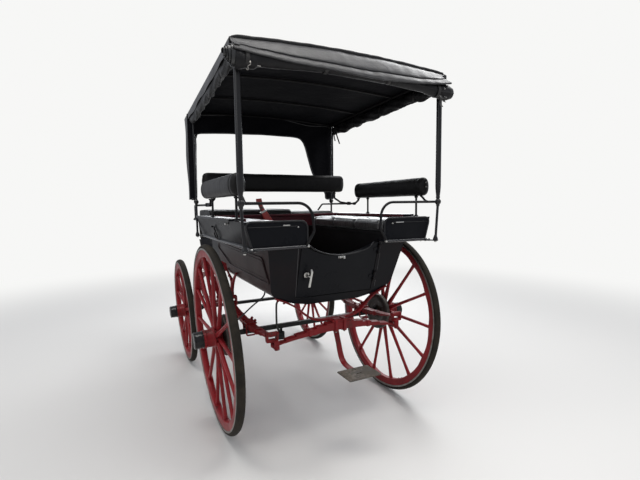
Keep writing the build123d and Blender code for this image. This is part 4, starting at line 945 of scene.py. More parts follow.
def hang_folds(x, z):
    """How far the front curtain stands off its plane: upright folds that fade toward the rail."""
    low = np.clip((2.14 - z) / 0.5, 0, 1)
    fold = 0.006 * np.sin(x * 21 + 0.8) + 0.004 * np.sin(x * 47 + z * 2.5)
    tension = 0.004 * np.sin((x * 0.6 + z) * 34)
    return fold * (0.25 + 0.75 * low) + tension * np.exp(-(((z - 2.08) / 0.09) ** 2))


class CARRIAGE_OT_canopy(bpy.types.Operator):
    """The canopy cloth, the folded valance behind it and the rolled curtains under it"""

    bl_idname = "carriage.canopy"
    bl_label = "Hang the canopy"

    def execute(self, context):
        # outer carries the lightened cloth colour, partly painted sheen
        outer, inner, roll = "cloth_outer_faded_and_painted_sheen", "cloth_inner", "cloth_black"
        roof = make("canopy_sheet", shell(roof_sheet()[:, ::-1], 0.003), "body", outer,
            lining=inner, stands_for="canopy_roof")
        valance = make("canopy_valance", shell(valance_sheet()[:, ::-1], 0.0022), "body", outer,
            lining=inner, stands_for="canopy_roof")

        rolled = make("rear_roll", rear_roll(), "body", roll, stands_for="rear_curtain")
        make("rear_roll_end", roll_end(), "body", "cloth_edge")
        sides = make("side_rolls", pair(side_roll()), "body", roll, stands_for="side_curtains")

        x = np.linspace(-0.652, 0.672, 120)
        worn = np.clip((x - 0.635) / 0.037, 0, 1) ** 2
        lip = np.stack([x, 0.6145 + 0 * x, 2.2346 + 0.027 * (1 - (x / 0.685) ** 2) - 0.004 * worn], -1)
        lip[:, 2] += 0.0008 * np.sin(x * 31) + 0.0005 * np.sin(x * 73 + 1)
        make("roof_lip", carry(lip + [0, AXLE_Y, 0], round_box(0.0215, 0.019, 0.007, 4), (0, 1, 0),
            scale=1 - 0.35 * worn), "body", roll)

        edge = opening_edge()
        rows = np.linspace(0, 1, 70)[:, None]
        top = canopy_edge(-0.8) - 0.006 + 0.027 * (1 - (edge[None, :, 0] / 0.66) ** 2)
        x = np.broadcast_to(edge[None, :, 0], (70, len(edge)))
        z = top + (edge[None, :, 1] - top) * rows
        y = -0.802 + hang_folds(x, z)
        drape = np.stack([x, y + AXLE_Y, z], -1)
        curtain = make("front_drape", shell(drape[::-1], 0.002), "body", inner, lining=inner,
            stands_for="front_curtain")
        hem_path = np.stack([edge[:, 0], -0.803 + hang_folds(edge[:, 0], edge[:, 1]) + AXLE_Y,
            edge[:, 1] + 0.003], -1)
        hem = make("front_drape_hem", band_round(hem_path[4:-4], 0.014, 0.0052, (0, 0.02, 1)), "body",
            "cloth_edge")

        high = np.linspace(2.15, 1.492, 80)[:, None]
        over = np.linspace(0, 1, 22)[None]
        front = -0.812 - 0.123 * (high - 1.492) / 0.658 - 0.006 * np.sin(high * 9)
        wing_y = -0.796 + (front + 0.796) * over
        wing_x = 0.657 + 0.004 * np.sin(high * 13 + over * 3) * over + 0.006 * over * (1 - (high - 1.49) / 0.66)
        wing = np.stack([wing_x, wing_y + AXLE_Y, np.broadcast_to(high, wing_y.shape)], -1)
        side = make("front_drape_wing", shell(wing, 0.002), "body", outer, lining=outer,
            stands_for="front_curtain")

        seam = bend([[0.6, 2.158], [0.45, 2.17], [0.32, 2.18], [0.224, 2.186], [0.1, 2.1885], [0.032, 2.187],
            [-0.096, 2.189], [-0.198, 2.182], [-0.343, 2.159], [-0.443, 2.153], [-0.557, 2.16],
            [-0.62, 2.15]], 10)
        welt = carry(place_all(in_plane(seam, 1, -0.7965)), circle(0.0032, 8), (0, 0, 1))
        make("lining_welt", welt, "body", "cloth_edge")

        straps = []
        for x, size, z in ((0.615, 0.042, 2.132), (-0.57, 0.0395, 2.117), (0.19, 0.031, 2.149),
                (-0.21, 0.0275, 2.139)):
            straps.append(strap_loop(put(x, 0.648, z), Y_WAY, size * 0.93 - 0.0005, size * 0.97, 0.0012, 0.01,
                X_WAY))
        for foot, tip in (((-0.612, 0.684, 2.08), (-0.597, 0.69, 2.046)), ((-0.572, 0.684, 2.082),
                (-0.577, 0.69, 2.016))):
            way = np.linspace(0, 1, 14)[:, None]
            tail = np.array(foot) * (1 - way) + np.array(tip) * way + np.array([0, 0.006, 0]) * np.sin(way * 7)
            straps.append(band_round(tail + [0, AXLE_Y, 0], 0.021, 0.0026, (1, 0.1, 0)))
        for s in (1, -1):
            for y in SIDE_STRAPS:
                middle = put(s * (canopy_half(y) - 0.0265), y, canopy_edge(y) - 0.0645)
                straps.append(strap_loop(middle, s * X_WAY, 0.0185, 0.0385, 0.001, 0.009, Y_WAY))
        long_tie = [[-0.598, -0.64, 2.128], [-0.604, -0.642, 2.07], [-0.624, -0.646, 2.02],
            [-0.64, -0.65, 1.985]]
        short_tie = [[-0.592, -0.66, 2.128], [-0.59, -0.662, 2.06], [-0.602, -0.664, 2.01]]
        for tie, wide in ((long_tie, 0.02), (short_tie, 0.018)):
            straps.append(band_round(place_all(bend(tie, 8)), wide, 0.0022, (0, 1, 0)))
        make("curtain_straps", join(*straps), "body", "strap_black")

        hook = bend([[0.6265, 0.6915, 2.0707], [0.6209, 0.6925, 2.0667], [0.6169, 0.693, 2.0723],
            [0.6201, 0.693, 2.0803], [0.6169, 0.693, 2.0867], [0.6097, 0.693, 2.0899], [0.6057, 0.693, 2.0963],
            [0.6073, 0.6925, 2.1035], [0.6129, 0.6915, 2.1027]], 6)
        metal = [carry(hook + [0, AXLE_Y, 0], circle(0.0021, 8), (0, 1, 0.01)),
            block(put(0.555, 0.69, 2.09), put(0.573, 0.6925, 2.094), 0.001)]
        for spot in ((-0.601, 0.69, 2.123), (0.607, 0.691, 2.105)):
            metal.append(lathe([[0, 0.0045], [0.0014, 0.0045], [0.002, 0.003], [0.0026, 0.0006]],
                put(*spot), (0, 1, 0.1), 16))
        make("curtain_buckles", join(*metal), "body", "steel_dull")
        return {"FINISHED"}


PAD_AROUND = 80  # points round a pad's section
CAP_RINGS = 8  # rings of the dome at each end of a pad


def pad_rings(start, length, along, across, wide, tall, base, radius=0.045, bulge=0.01, power=3.4, crown=0.006,
        pull=0.006, seams=(), depth=0.009, seed=1, soft=0.0012):
    """A stuffed pad as rings along its length: superellipses that shrink round the ends, swell between the
    seams and dip at them, with a domed cap at each end; start is the middle of its lowest face at one end."""
    bow = np.linspace(1, 0, 9) * pi / 2
    caps = np.linspace(0.04, 0.96, CAP_RINGS)
    run = np.linspace(radius, length - radius, 220)
    place = np.concatenate([-bulge * (1 - caps**2), radius * (1 - np.sin(bow)), run[1:-1],
        (length - radius * (1 - np.sin(bow)))[::-1], (length + bulge * (1 - caps**2))[::-1]])
    inset = np.concatenate([np.full(CAP_RINGS, radius), radius * (1 - np.cos(bow)), np.zeros(218),
        (radius * (1 - np.cos(bow)))[::-1], np.full(CAP_RINGS, radius)])
    scale = np.concatenate([caps, np.ones(9 + 218 + 9), caps[::-1]])
    stops = np.array([0.0, *seams, length])
    k = np.clip(np.searchsorted(stops, place) - 1, 0, len(stops) - 2)
    share = np.clip((place - stops[k]) / (stops[k + 1] - stops[k]), 0, 1)
    puff = (4 * share * (1 - share)) ** 0.7
    dip = sum((0.45 * np.exp(-(((place - s) / 0.014) ** 2)) + 0.55 * np.exp(-(((place - s) / 0.0038) ** 2))
        for s in seams), 0 * place)
    middle = np.clip(4 * place * (length - place) / length**2, 0, 1)
    half_wide = (wide / 2 - inset - pull * middle - depth * 0.8 * dip) * scale
    half_tall = (tall / 2 - inset * min(1, tall / wide * 1.3) * 0.6 - depth * dip) * scale
    turn = np.linspace(0, 2 * pi, PAD_AROUND, endpoint=False)[None]
    c, s = np.cos(turn), np.sin(turn)
    sideways = np.sign(c) * np.abs(c) ** (2 / power) * half_wide[:, None]
    lift = np.sign(s) * np.abs(s) ** (2 / power) * half_tall[:, None]
    swell = crown * (0.35 + 0.65 * puff)[:, None] * (1 - np.abs(sideways / (wide / 2)) ** 2.2)
    lift = lift + swell * np.sign(s) * np.where(s > 0, 1.0, 0.35) * scale[:, None]
    lift = np.maximum(lift, -tall / 2) if base else lift
    grid = (np.asarray(start, float) + place[:, None, None] * along + sideways[..., None] * across
        + (lift + tall / 2)[..., None] * UP)
    out = c[..., None] * across + s[..., None] * UP
    out = np.broadcast_to(out, grid.shape)
    rough = ripple(grid, seed, 30, 0.26, 0.06)
    return grid + (0.5 * soft * rough * scale[:, None])[..., None] * out


def pad_piping(grid, radius, angle=0.125):
    """Cord sewn round a pad's edge: along one side at a share of the ring, across the end, back, and across."""
    a, b = int(PAD_AROUND * angle), int(PAD_AROUND * (0.5 - angle))
    body = grid[CAP_RINGS:-CAP_RINGS]
    path = np.concatenate([body[:, a], body[-1, a + 1 : b], body[::-1, b], body[0, b - 1 : a : -1]])
    step = np.linalg.norm(np.diff(path, axis=0, append=path[:1]), axis=1)
    return carry(path[step > 1e-4], circle(radius, 8), (0, 0, 1), True)


def pad_ring(grid, place, along, radius):
    """Cord sewn right round a pad at one place along it."""
    middles = grid.mean(1) @ along
    k = int(np.argmin(np.abs(middles - place)))
    return carry(grid[k], circle(radius, 8), along, True)


class CARRIAGE_OT_seats(bpy.types.Operator):
    """Stuffed leather cushions and backrests with crowned faces, pulled-in sides, seams and piping"""

    bl_idname = "carriage.seats"
    bl_label = "Stuff the seats"

    def execute(self, context):
        cord = context.scene.carriage_sizes.piping
        leather = "leather_black"
        grid = pad_rings(put(0.4295, -0.4795, 1.2656), 1.008, Y_WAY, X_WAY, 0.327, 0.072, True, radius=0.02,
            bulge=0.004, power=5.0, crown=0.01, pull=0.004, seams=(0.065, 0.365, 0.665, 0.95), depth=0.009,
            seed=3, soft=0.0014)
        lean = 0.02 * np.clip((grid[..., 2] - 1.2656) / 0.0764, 0, 1.2) * np.clip((grid[..., 0] - 0.42) / 0.16,
            -0.2, 1)
        grid[..., 0] += lean
        welt = pad_piping(grid, cord * 0.9)
        foot = pad_piping(grid[:, ::-1], cord * 0.8, 0.14)
        # the seat finish carries a painted reflection in its lighter colour
        seat = make("bench_seats", pair(join(skin(grid), welt, foot)), "body", "seat_gloss_painted_reflection",
            stands_for="bench_cushions")

        grid = pad_rings(put(0.625, -0.335, 1.49), 0.843, Y_WAY, X_WAY, 0.083, 0.121, False, radius=0.034,
            bulge=0.009, power=2.2, crown=0.0, pull=0.002, seams=(0.062, 0.781), depth=0.003, seed=7,
            soft=0.0011)
        rings = [pad_ring(grid, AXLE_Y + y, Y_WAY, cord * 0.8) for y in (-0.273, 0.446)]
        back = make("bench_bolsters", pair(join(skin(grid), *rings)), "body", leather,
            stands_for="bench_backrests")
        studs = []
        for y, z in ((0.5, 1.575), (0.503, 1.548), (-0.327, 1.575)):
            way = 1 if y > 0 else -1
            studs.append(lathe([[0, 0.0075], [0.0018, 0.007], [0.0032, 0.0045], [0.0036, 0.0006]],
                put(0.625, y + 0.0095 * way, z), (0, way, 0), 14))
        make("bolster_studs", pair(join(*studs)), "body", "steel_dull")

        shapes = []
        for x0, x1, top, seed in ((-0.139, 0.547, 1.4075, 11), (-0.547, -0.147, 1.3835, 12)):
            wide = x1 - x0
            seams = (wide * 0.33, wide * 0.66) if wide > 0.5 else (wide * 0.5,)
            grid = pad_rings(put(x0, -0.824, 1.3315), wide, X_WAY, Y_WAY, 0.45, top - 1.3315 - 0.004, True,
                radius=0.022, bulge=0.003, power=5.0, crown=0.009, pull=0.004, seams=seams, depth=0.007,
                seed=seed)
            shapes += [skin(grid), pad_piping(grid, cord * 0.9), pad_piping(grid[:, ::-1], cord * 0.8, 0.14)]
        box_seat = make("driver_seats", join(*shapes), "body", leather,
            stands_for="driver_cushions")

        grid = pad_rings(put(-0.604, -0.54, 1.548), 1.208, X_WAY, Y_WAY, 0.065, 0.141, False, radius=0.04,
            bulge=0.008, power=2.9, crown=0.0, pull=0.002, seams=(), depth=0.0, seed=17, soft=0.0011)
        rest = make("driver_bolster", join(skin(grid), pad_piping(grid, cord * 0.7, 0.11)), "body", leather,
            stands_for="driver_backrest")
        return {"FINISHED"}


def cornered(points, radius, closed=False, count=7):
    """A path of straight runs whose corners are quadratic curves of one reach."""
    p = np.asarray(points, float)
    before, after = np.roll(p, 1, 0) - p, np.roll(p, -1, 0) - p
    before /= np.linalg.norm(before, axis=1, keepdims=True)
    after /= np.linalg.norm(after, axis=1, keepdims=True)
    t = np.linspace(0, 1, count)[None, :, None]
    a, b, middle = (p + before * radius)[:, None], (p + after * radius)[:, None], p[:, None]
    arcs = (1 - t) ** 2 * a + 2 * t * (1 - t) * middle + t**2 * b
    if closed:
        return arcs.reshape(-1, p.shape[1])
    return np.vstack([p[0], arcs[1:-1].reshape(-1, p.shape[1]), p[-1]])


def on_rear(flat, off):
    """Points (x, z) laid on the leaning rear face, a way off it."""
    flat = np.asarray(flat, float)
    y = REAR_FOOT[0] + (flat[:, 1] - REAR_FOOT[1]) * tan(LEAN)
    return place_all(np.stack([flat[:, 0], y + off * cos(LEAN), flat[:, 1] - off * sin(LEAN)], -1))


def rear_spot(x, z, off):
    """One such place."""
    return on_rear([[x, z]], off)[0]


def on_side(flat, off):
    """Points (y, z) laid on the left side of the lower body, a way off it."""
    flat = np.asarray(flat, float)
    return place_all(np.stack([0.422 + (flat[:, 1] - 0.911) * 0.1622 + off, flat[:, 0], flat[:, 1]], -1))


def knob(origin, axis, radius):
    """A turned knob: a short neck under a ball flattened at its top."""
    turn = np.linspace(-0.42 * pi, 0.5 * pi, 9)
    ball = np.stack([radius * 1.35 + radius * np.sin(turn), np.maximum(radius * np.cos(turn), 0.0004)], -1)
    neck = np.array([[0, radius * 0.9], [radius * 0.15, radius * 0.9], [radius * 0.2, radius * 0.5]])
    return lathe(np.vstack([neck, ball]), origin, axis, 20)


class CARRIAGE_OT_trim(bpy.types.Operator):
    """Beads, half-round rails, worn edges, door furniture and the red hand lever"""

    bl_idname = "carriage.trim"
    bl_label = "Fit the body trim"

    def execute(self, context):
        black, worn = "bead_black", "edge_worn"
        rim = cornered([[0.5795, 1.214], [0.6205, 1.3525], [0.2595, 1.3525], [0.2595, 1.216]], 0.046)
        shapes = [carry(place_all(in_plane(rim, 1, 0.5535)), circle(0.0048, 10), (0, 1, 0.01))]
        line = np.array([[0.6, 0.553, 1.3245], [0.315, 0.553, 1.3245]])
        shapes.append(carry(place_all(line), circle(0.0022, 8), (0, 1, 0)))
        make("end_panel_beads", pair(join(*shapes)), "body", worn)
        low = cornered([[0.612, 0.56, 1.2035], [0.583, 0.5585, 1.2085], [0.262, 0.5585, 1.2105]], 0.012)
        foot = carry(place_all(low), circle(0.0088, 14), (0, 0, 1))
        side = cornered([[0.5845, 0.545, 1.2085], [0.5845, 0.39, 1.2085], [0.5835, -0.705, 1.2085]], 0.05)
        rail = carry(place_all(side), circle(0.0088, 14), (0, 0, 1))
        make("half_round_rails", pair(join(foot, rail)), "body", black)
        balls = [knob(put(0.262, 0.5595, 1.2105), (0, 1, 0.1), 0.0075),
            knob(put(0.586, 0.56, 1.2075), Y_WAY, 0.0075), knob(put(0.612, 0.561, 1.203), (0.3, 1, 0), 0.0062),
            knob(put(0.317, 0.5525, 1.319), Y_WAY, 0.0045)]
        make("rail_ends", pair(join(*balls)), "body", "steel_bright")
        clips = join(block(put(0.364, 0.5525, 1.327), put(0.405, 0.5565, 1.3335), 0.0015),
            block(put(-0.407, 0.5525, 1.3215), put(-0.345, 0.5565, 1.328), 0.0015))
        make("panel_clips", clips, "body", "steel_bright")

        frame_line = cornered([[0.411, 0.987], [0.361, 1.136], [-0.7, 1.15], [-0.765, 1.101], [-0.435, 0.993]],
            0.03, True)
        bead = carry(on_side(frame_line, 0.0012), circle(0.0042, 8), (1, 0, 0.1), True)
        inner = carry(on_side(cornered([[0.383, 1.01], [0.34, 1.118], [-0.69, 1.131], [-0.728, 1.1],
            [-0.425, 1.013]], 0.026, True), 0.0006), circle(0.0018, 8), (1, 0, 0.1), True)
        make("side_beads", pair(join(bead, inner)), "body", "side_maroon")

        rails = join(pair(block(put(0.5475, -0.555, 1.3475), put(0.5605, 0.358, 1.3665), 0.004)),
            block(put(-0.548, -0.5605, 1.3475), put(0.548, -0.545, 1.3665), 0.004))
        make("inner_rails", rails, "body", "inside_maroon")
        caps = pair(block(put(0.5615, -0.618, 1.3645), put(0.6485, 0.358, 1.3672), 0.0012))
        make("capping_boards", caps, "body", "board_varnish")

        scoop = bend([[0.237, 1.199], [0.22, 1.1995], [0.199, 1.1845], [0.178, 1.1715], [0.108, 1.1455],
            [0.038, 1.1315], [-0.011, 1.1272], [-0.081, 1.1318], [-0.138, 1.1425], [-0.193, 1.1595],
            [-0.222, 1.18], [-0.237, 1.199]], 8)
        edge_line = on_rear(scoop, -0.011)
        profile = round_box(0.03, 0.0075, 0.0034, 3)
        make("door_top_edge", carry(edge_line, profile, (0, -sin(LEAN), cos(LEAN))), "door", worn)
        lines = [carry(on_rear(run, 0.0006), circle(0.0026, 8), (1, 0, 0)) for run in ([[0.2865, 1.196],
            [0.269, 0.896]], [[-0.287, 1.196], [-0.295, 0.9]])]
        make("pillar_beads", join(*lines), "body", "bead_black")
        latch = join(knob(rear_spot(-0.02, 1.1215, 0.002), REAR_OUT, 0.0085),
            knob(rear_spot(0.006, 1.1235, 0.002), REAR_OUT, 0.0062),
            block(rear_spot(-0.034, 1.116, 0.0005), rear_spot(0.016, 1.128, 0.0005) + [0, 0.003, 0], 0.001))
        make("door_keeper", latch, "door", "steel_bright")
        rose = [lathe([[0.008, 0.017], [0.0095, 0.0165], [0.0105, 0.0125], [0.0125, 0.0115], [0.013, 0.0085]],
            rear_spot(0.217, 1.03, 0), REAR_OUT, 28)]
        for z in (1.0175, 1.0425):
            rose.append(bolt(rear_spot(0.2285, z, 0.008), REAR_OUT, 0.0026, 0.0018, 10))
        make("handle_rose", join(*rose), "door", "steel_bright")
        spindle = on_rear([[0.2175, 1.032], [0.2168, 1.0325], [0.2145, 1.033], [0.21, 1.0335], [0.206, 1.034]],
            np.array([0.01, 0.024, 0.034, 0.0405, 0.043]))
        grip = on_rear([[0.2072, 1.0775], [0.204, 1.069], [0.202, 1.06], [0.204, 1.033], [0.207, 0.998],
            [0.2092, 0.974], [0.2094, 0.97]], np.array([0.0385, 0.041, 0.043, 0.0445, 0.0455, 0.0465, 0.0466]))
        fine = bend(grip, 6)
        size = np.interp(np.linspace(0, 6, len(fine)), np.arange(7), [0.62, 0.92, 1.0, 0.95, 1.05, 1.12, 0.8])
        lever = join(carry(bend(spindle, 6), circle(0.006, 14), (1, 0, 0)), carry(fine,
            round_box(0.014, 0.0085, 0.0036, 4), REAR_OUT, scale=size))
        make("handle_lever", lever, "door", "steel_bright", stands_for="door_handle")
        screws = []
        for z in (0.978, 1.158):
            for dx in (-0.029, -0.02, -0.011):
                screws.append(bolt(rear_spot(-0.27 - dx, z + 0.006, 0.0036), REAR_OUT, 0.003, 0.0016, 10))
        make("hinge_screws", join(*screws), "door", "black_iron")

        ring = bend([[-0.172, 1.216], [-0.142, 1.234], [-0.15, 1.262], [-0.18, 1.268], [-0.205, 1.25],
            [-0.2, 1.225]], 8, True)
        hook = np.stack([0.604 + 0.3 * (ring[:, 1] - 1.25), ring[:, 0], ring[:, 1]], -1)
        stem = bend([[0.602, -0.176, 1.268], [0.61, -0.18, 1.285], [0.608, -0.182, 1.3]], 6)
        hooks = join(carry(place_all(hook), circle(0.0045, 8), X_WAY, True),
            carry(place_all(stem), circle(0.005, 8), X_WAY), knob(put(0.611, -0.2, 1.3), X_WAY, 0.007))
        make("side_hooks", pair(hooks), "body", "black_iron")
        make("side_knob", knob(put(0.616, 0.201, 1.332), (1, 0, 0.1), 0.0075), "body", "steel_bright")

        line = bend([[0.05, 1.252], [0.08, 1.302], [0.112, 1.352], [0.134, 1.388], [0.152, 1.424],
            [0.162, 1.452], [0.17, 1.478], [0.172, 1.494]], 6)
        size = np.interp(line[:, 1], [1.25, 1.3, 1.375, 1.392, 1.44, 1.458, 1.474, 1.494],
            [1.3, 1.28, 1.22, 0.86, 0.78, 0.98, 1.12, 1.02])
        arm = carry(place_all(in_plane(line, 1, -0.542)), round_box(0.044, 0.013, 0.005, 4), (0, 1, 0),
            scale=size)
        make("hand_lever", join(arm, lathe([[-0.011, 0.0006], [-0.011, 0.019], [-0.009, 0.021], [0.009, 0.021],
            [0.011, 0.019], [0.011, 0.0006]], put(0.058, -0.541, 1.29), (0, 1, 0), 28)), "body", "lever_red",
            stands_for="brake_lever")
        band = carry(place_all([[0.132, -0.542, 1.384], [0.1385, -0.542, 1.396]]),
            round_box(0.058, 0.0175, 0.006, 4), (0, 1, 0))
        make("lever_ring", band, "body", "steel_bright")
        return {"FINISHED"}


def rod(points, radius):
    """A round iron along a path."""
    path = place_all(points)
    way = np.abs(path[-1] - path[0])
    up = (0, 0, 1) if way[2] < 0.8 * np.linalg.norm(way) + 1e-9 else (1, 0.05, 0)
    return carry(path, circle(radius, 14), up)


def plate(outline, low, high, edge=0.0012):
    """A flat outline (x, y) given thickness, its top and bottom edges eased."""
    flat = np.asarray(outline, float)
    middle = flat.mean(0)
    less = middle + (flat - middle) * (1 - edge / np.linalg.norm(flat - middle, axis=1, keepdims=True))
    rings = [(less, low), (flat, low + edge), (flat, high - edge), (less, high)]
    return skin(np.stack([place_all(np.column_stack([p, np.full(len(p), z)])) for p, z in rings]))


def foot_flange(place, radius=0.0165, thick=0.004):
    """A round foot under an upright iron, with its two bolts."""
    parts = [lathe([[0, radius], [thick * 0.7, radius], [thick, radius - 0.0015], [thick * 1.1, 0.012],
        [thick * 2.6, 0.0088]], place, (0, 0, 1), 24)]
    for s in (-1, 1):
        parts.append(bolt(place + [0, s * 0.0135, thick], (0, 0, 1), 0.0034, 0.003))
    return join(*parts)


class CARRIAGE_OT_irons(bpy.types.Operator):
    """Canopy posts with sleeves, turned knobs and forged feet, and the collars and clamps of the seat irons"""

    bl_idname = "carriage.irons"
    bl_label = "Forge the irons"

    def execute(self, context):
        rear_knob, front_knob = put(0.645, 0.598, 1.45), put(0.6163, -0.775, 1.476)
        feet = ((0.631, 0.5948), (0.6163, -0.775))
        sleeve = [[0.012, 0.0006], [0.012, 0.0085], [0.02, 0.01], [0.024, 0.0128], [0.028, 0.0134],
            [0.033, 0.0124], [0.036, 0.0118], [0.06, 0.0148], [0.085, 0.0166], [0.1, 0.0172], [0.4, 0.017],
            [0.764, 0.017], [0.7645, 0.0006]]
        ball = [[-0.03, 0.0082], [-0.026, 0.0105], [-0.023, 0.0118], [-0.02, 0.011], [-0.018, 0.0112],
            [-0.012, 0.0165], [-0.004, 0.0193], [0.004, 0.0193], [0.01, 0.0165], [0.015, 0.0112],
            [0.018, 0.0104], [0.02, 0.0106]]
        upper = [[0.01, 0.0088], [0.3, 0.0084], [0.676, 0.0084], [0.6765, 0.0006]]
        shapes = [lathe(sleeve, rear_knob, UP, 36), lathe(ball, rear_knob, UP, 32),
            rod([[0.6312, 0.595, 1.203], [0.645, 0.598, 1.44]], 0.0082), lathe(upper, front_knob, UP, 28),
            lathe(ball, front_knob, UP, 32), rod([[0.6163, -0.775, 1.203], [0.6163, -0.775, 1.466]], 0.0082)]
        for outline in ([[0.532, 0.544], [0.573, 0.492], [0.645, 0.602], [0.639, 0.614], [0.623, 0.614]],
                [[0.532, -0.749], [0.608, -0.791], [0.624, -0.791], [0.63, -0.779], [0.573, -0.697]]):
            shapes.append(plate(cornered(outline, 0.006, True, 4), 1.1995, 1.207))
        for x, y in feet:
            shapes.append(lathe([[-0.008, 0.0006], [-0.008, 0.012], [-0.004, 0.015], [0.0, 0.0155],
                [0.01, 0.0155], [0.014, 0.0135], [0.024, 0.01], [0.03, 0.0084]], put(x, y, 1.205), (0, 0, 1),
                28))
        make("post_irons", pair(join(*shapes)), "body", "post_black", stands_for="canopy_posts")
        ends = []
        for x, y in feet:
            ends.append(bolt(put(x, y, 1.1975), (0, 0, -1), 0.0085, 0.0075))
        for x, y in ((0.56, 0.536), (0.589, 0.548), (0.555, -0.744), (0.586, -0.756)):
            ends.append(bolt(put(x, y, 1.1995), (0, 0, -1), 0.0062, 0.005))
        make("post_bolts", pair(join(*ends)), "body", "steel_bright")

        parts = []
        for y in (-0.165, 0.42):
            foot = 1.3672 if y < 0.355 else 1.3535
            collar = [[0, 0.0074], [0, 0.0125], [0.006, 0.0125], [0.008, 0.011], [0.012, 0.0074]]
            parts += [foot_flange(put(0.619, y, foot)), lathe(collar, put(0.619, y, 1.4885), (0, 0, -1), 24)]
        clamp = [[-0.012, 0.0082], [-0.012, 0.0115], [-0.01, 0.0122], [0.01, 0.0122], [0.012, 0.0115],
            [0.012, 0.0082]]
        stay = bend([[0.606, 0.48, 1.49], [0.6055, 0.5, 1.478], [0.605, 0.522, 1.46], [0.605, 0.548, 1.45]], 8)
        parts += [lathe(clamp, put(0.6, -0.34, 1.446), Y_WAY, 24),
            block(put(0.588, -0.444, 1.434), put(0.612, -0.412, 1.462), 0.004),
            bolt(put(0.612, -0.428, 1.448), X_WAY, 0.006, 0.005), rod(stay, 0.007),
            foot_flange(put(0.582, -1.03, 1.3315))]
        for x, y, z in ((0.52, -0.54, 1.543), (0.606, -0.285, 1.4885)):
            parts.append(lathe([[0, 0.0082], [0, 0.0135], [0.005, 0.0135], [0.007, 0.012], [0.011, 0.0082]],
                put(x, y, z), (0, 0, -1), 24))
        for x, y, z in ((0.27, 0.5645, 1.22), (0.236, 0.575, 1.285)):
            parts.append(bolt(put(x, y, z), Y_WAY, 0.006, 0.0045))
        make("iron_collars", pair(join(*parts)), "body", "black_iron")
        return {"FINISHED"}


def strap_round(centre, half_a, half_b, axes, thick=0.004, wide=0.022):
    """A flat strap bent round a bundle: a rounded rectangle of half sizes along two axes, as a closed run."""
    a, b = axes
    square = [[-half_a, -half_b], [half_a, -half_b], [half_a, half_b], [-half_a, half_b]]
    flat = cornered(square, 0.005, True, 4)
    path = np.zeros((len(flat), 3)) + centre
    path[:, a] += flat[:, 0]
    path[:, b] += flat[:, 1]
    normal = np.eye(3)[3 - a - b]
    return carry(path, round_box(thick, wide, 0.0012, 2), normal, True)


def u_bolt(x, y, low, high, half, radius=0.0055):
    """A round rod bent under an axle, its two threaded legs standing up through a plate, with nuts."""
    path = cornered([[x - half, y, high], [x - half, y, low], [x + half, y, low], [x + half, y, high]], 0.012)
    legs = carry(place_all(path), circle(radius, 10), (0, 1, 0))
    nuts = [lathe([[-0.014, 0.0006], [-0.014, 0.0096], [-0.0125, 0.0105], [-0.0065, 0.0105], [-0.005, 0.0096],
        [-0.005, 0.0006]], put(x + s * half, y, high), (0, 0, 1), 6) for s in (-1, 1)]
    return join(legs, *nuts)


def forged_link(outline, place, flat_way, ease=0.0045, down=1):
    """A link 11.6 mm thick: an outline (across, up) whose edges are eased; flat_way is 0 for X, 1 for Y."""
    outline = np.asarray(outline, float)
    rings = []
    for off, size in ((-0.0058, 0.94), (-ease, 1), (ease, 1), (0.0058, 0.94)):
        ring = np.tile(np.asarray(place, float), (len(outline), 1))
        ring[:, flat_way] += off
        ring[:, 1 - flat_way] += outline[:, 0] * size
        ring[:, 2] += down * outline[:, 1] * size
        rings.append(place_all(ring))
    return skin(rings)


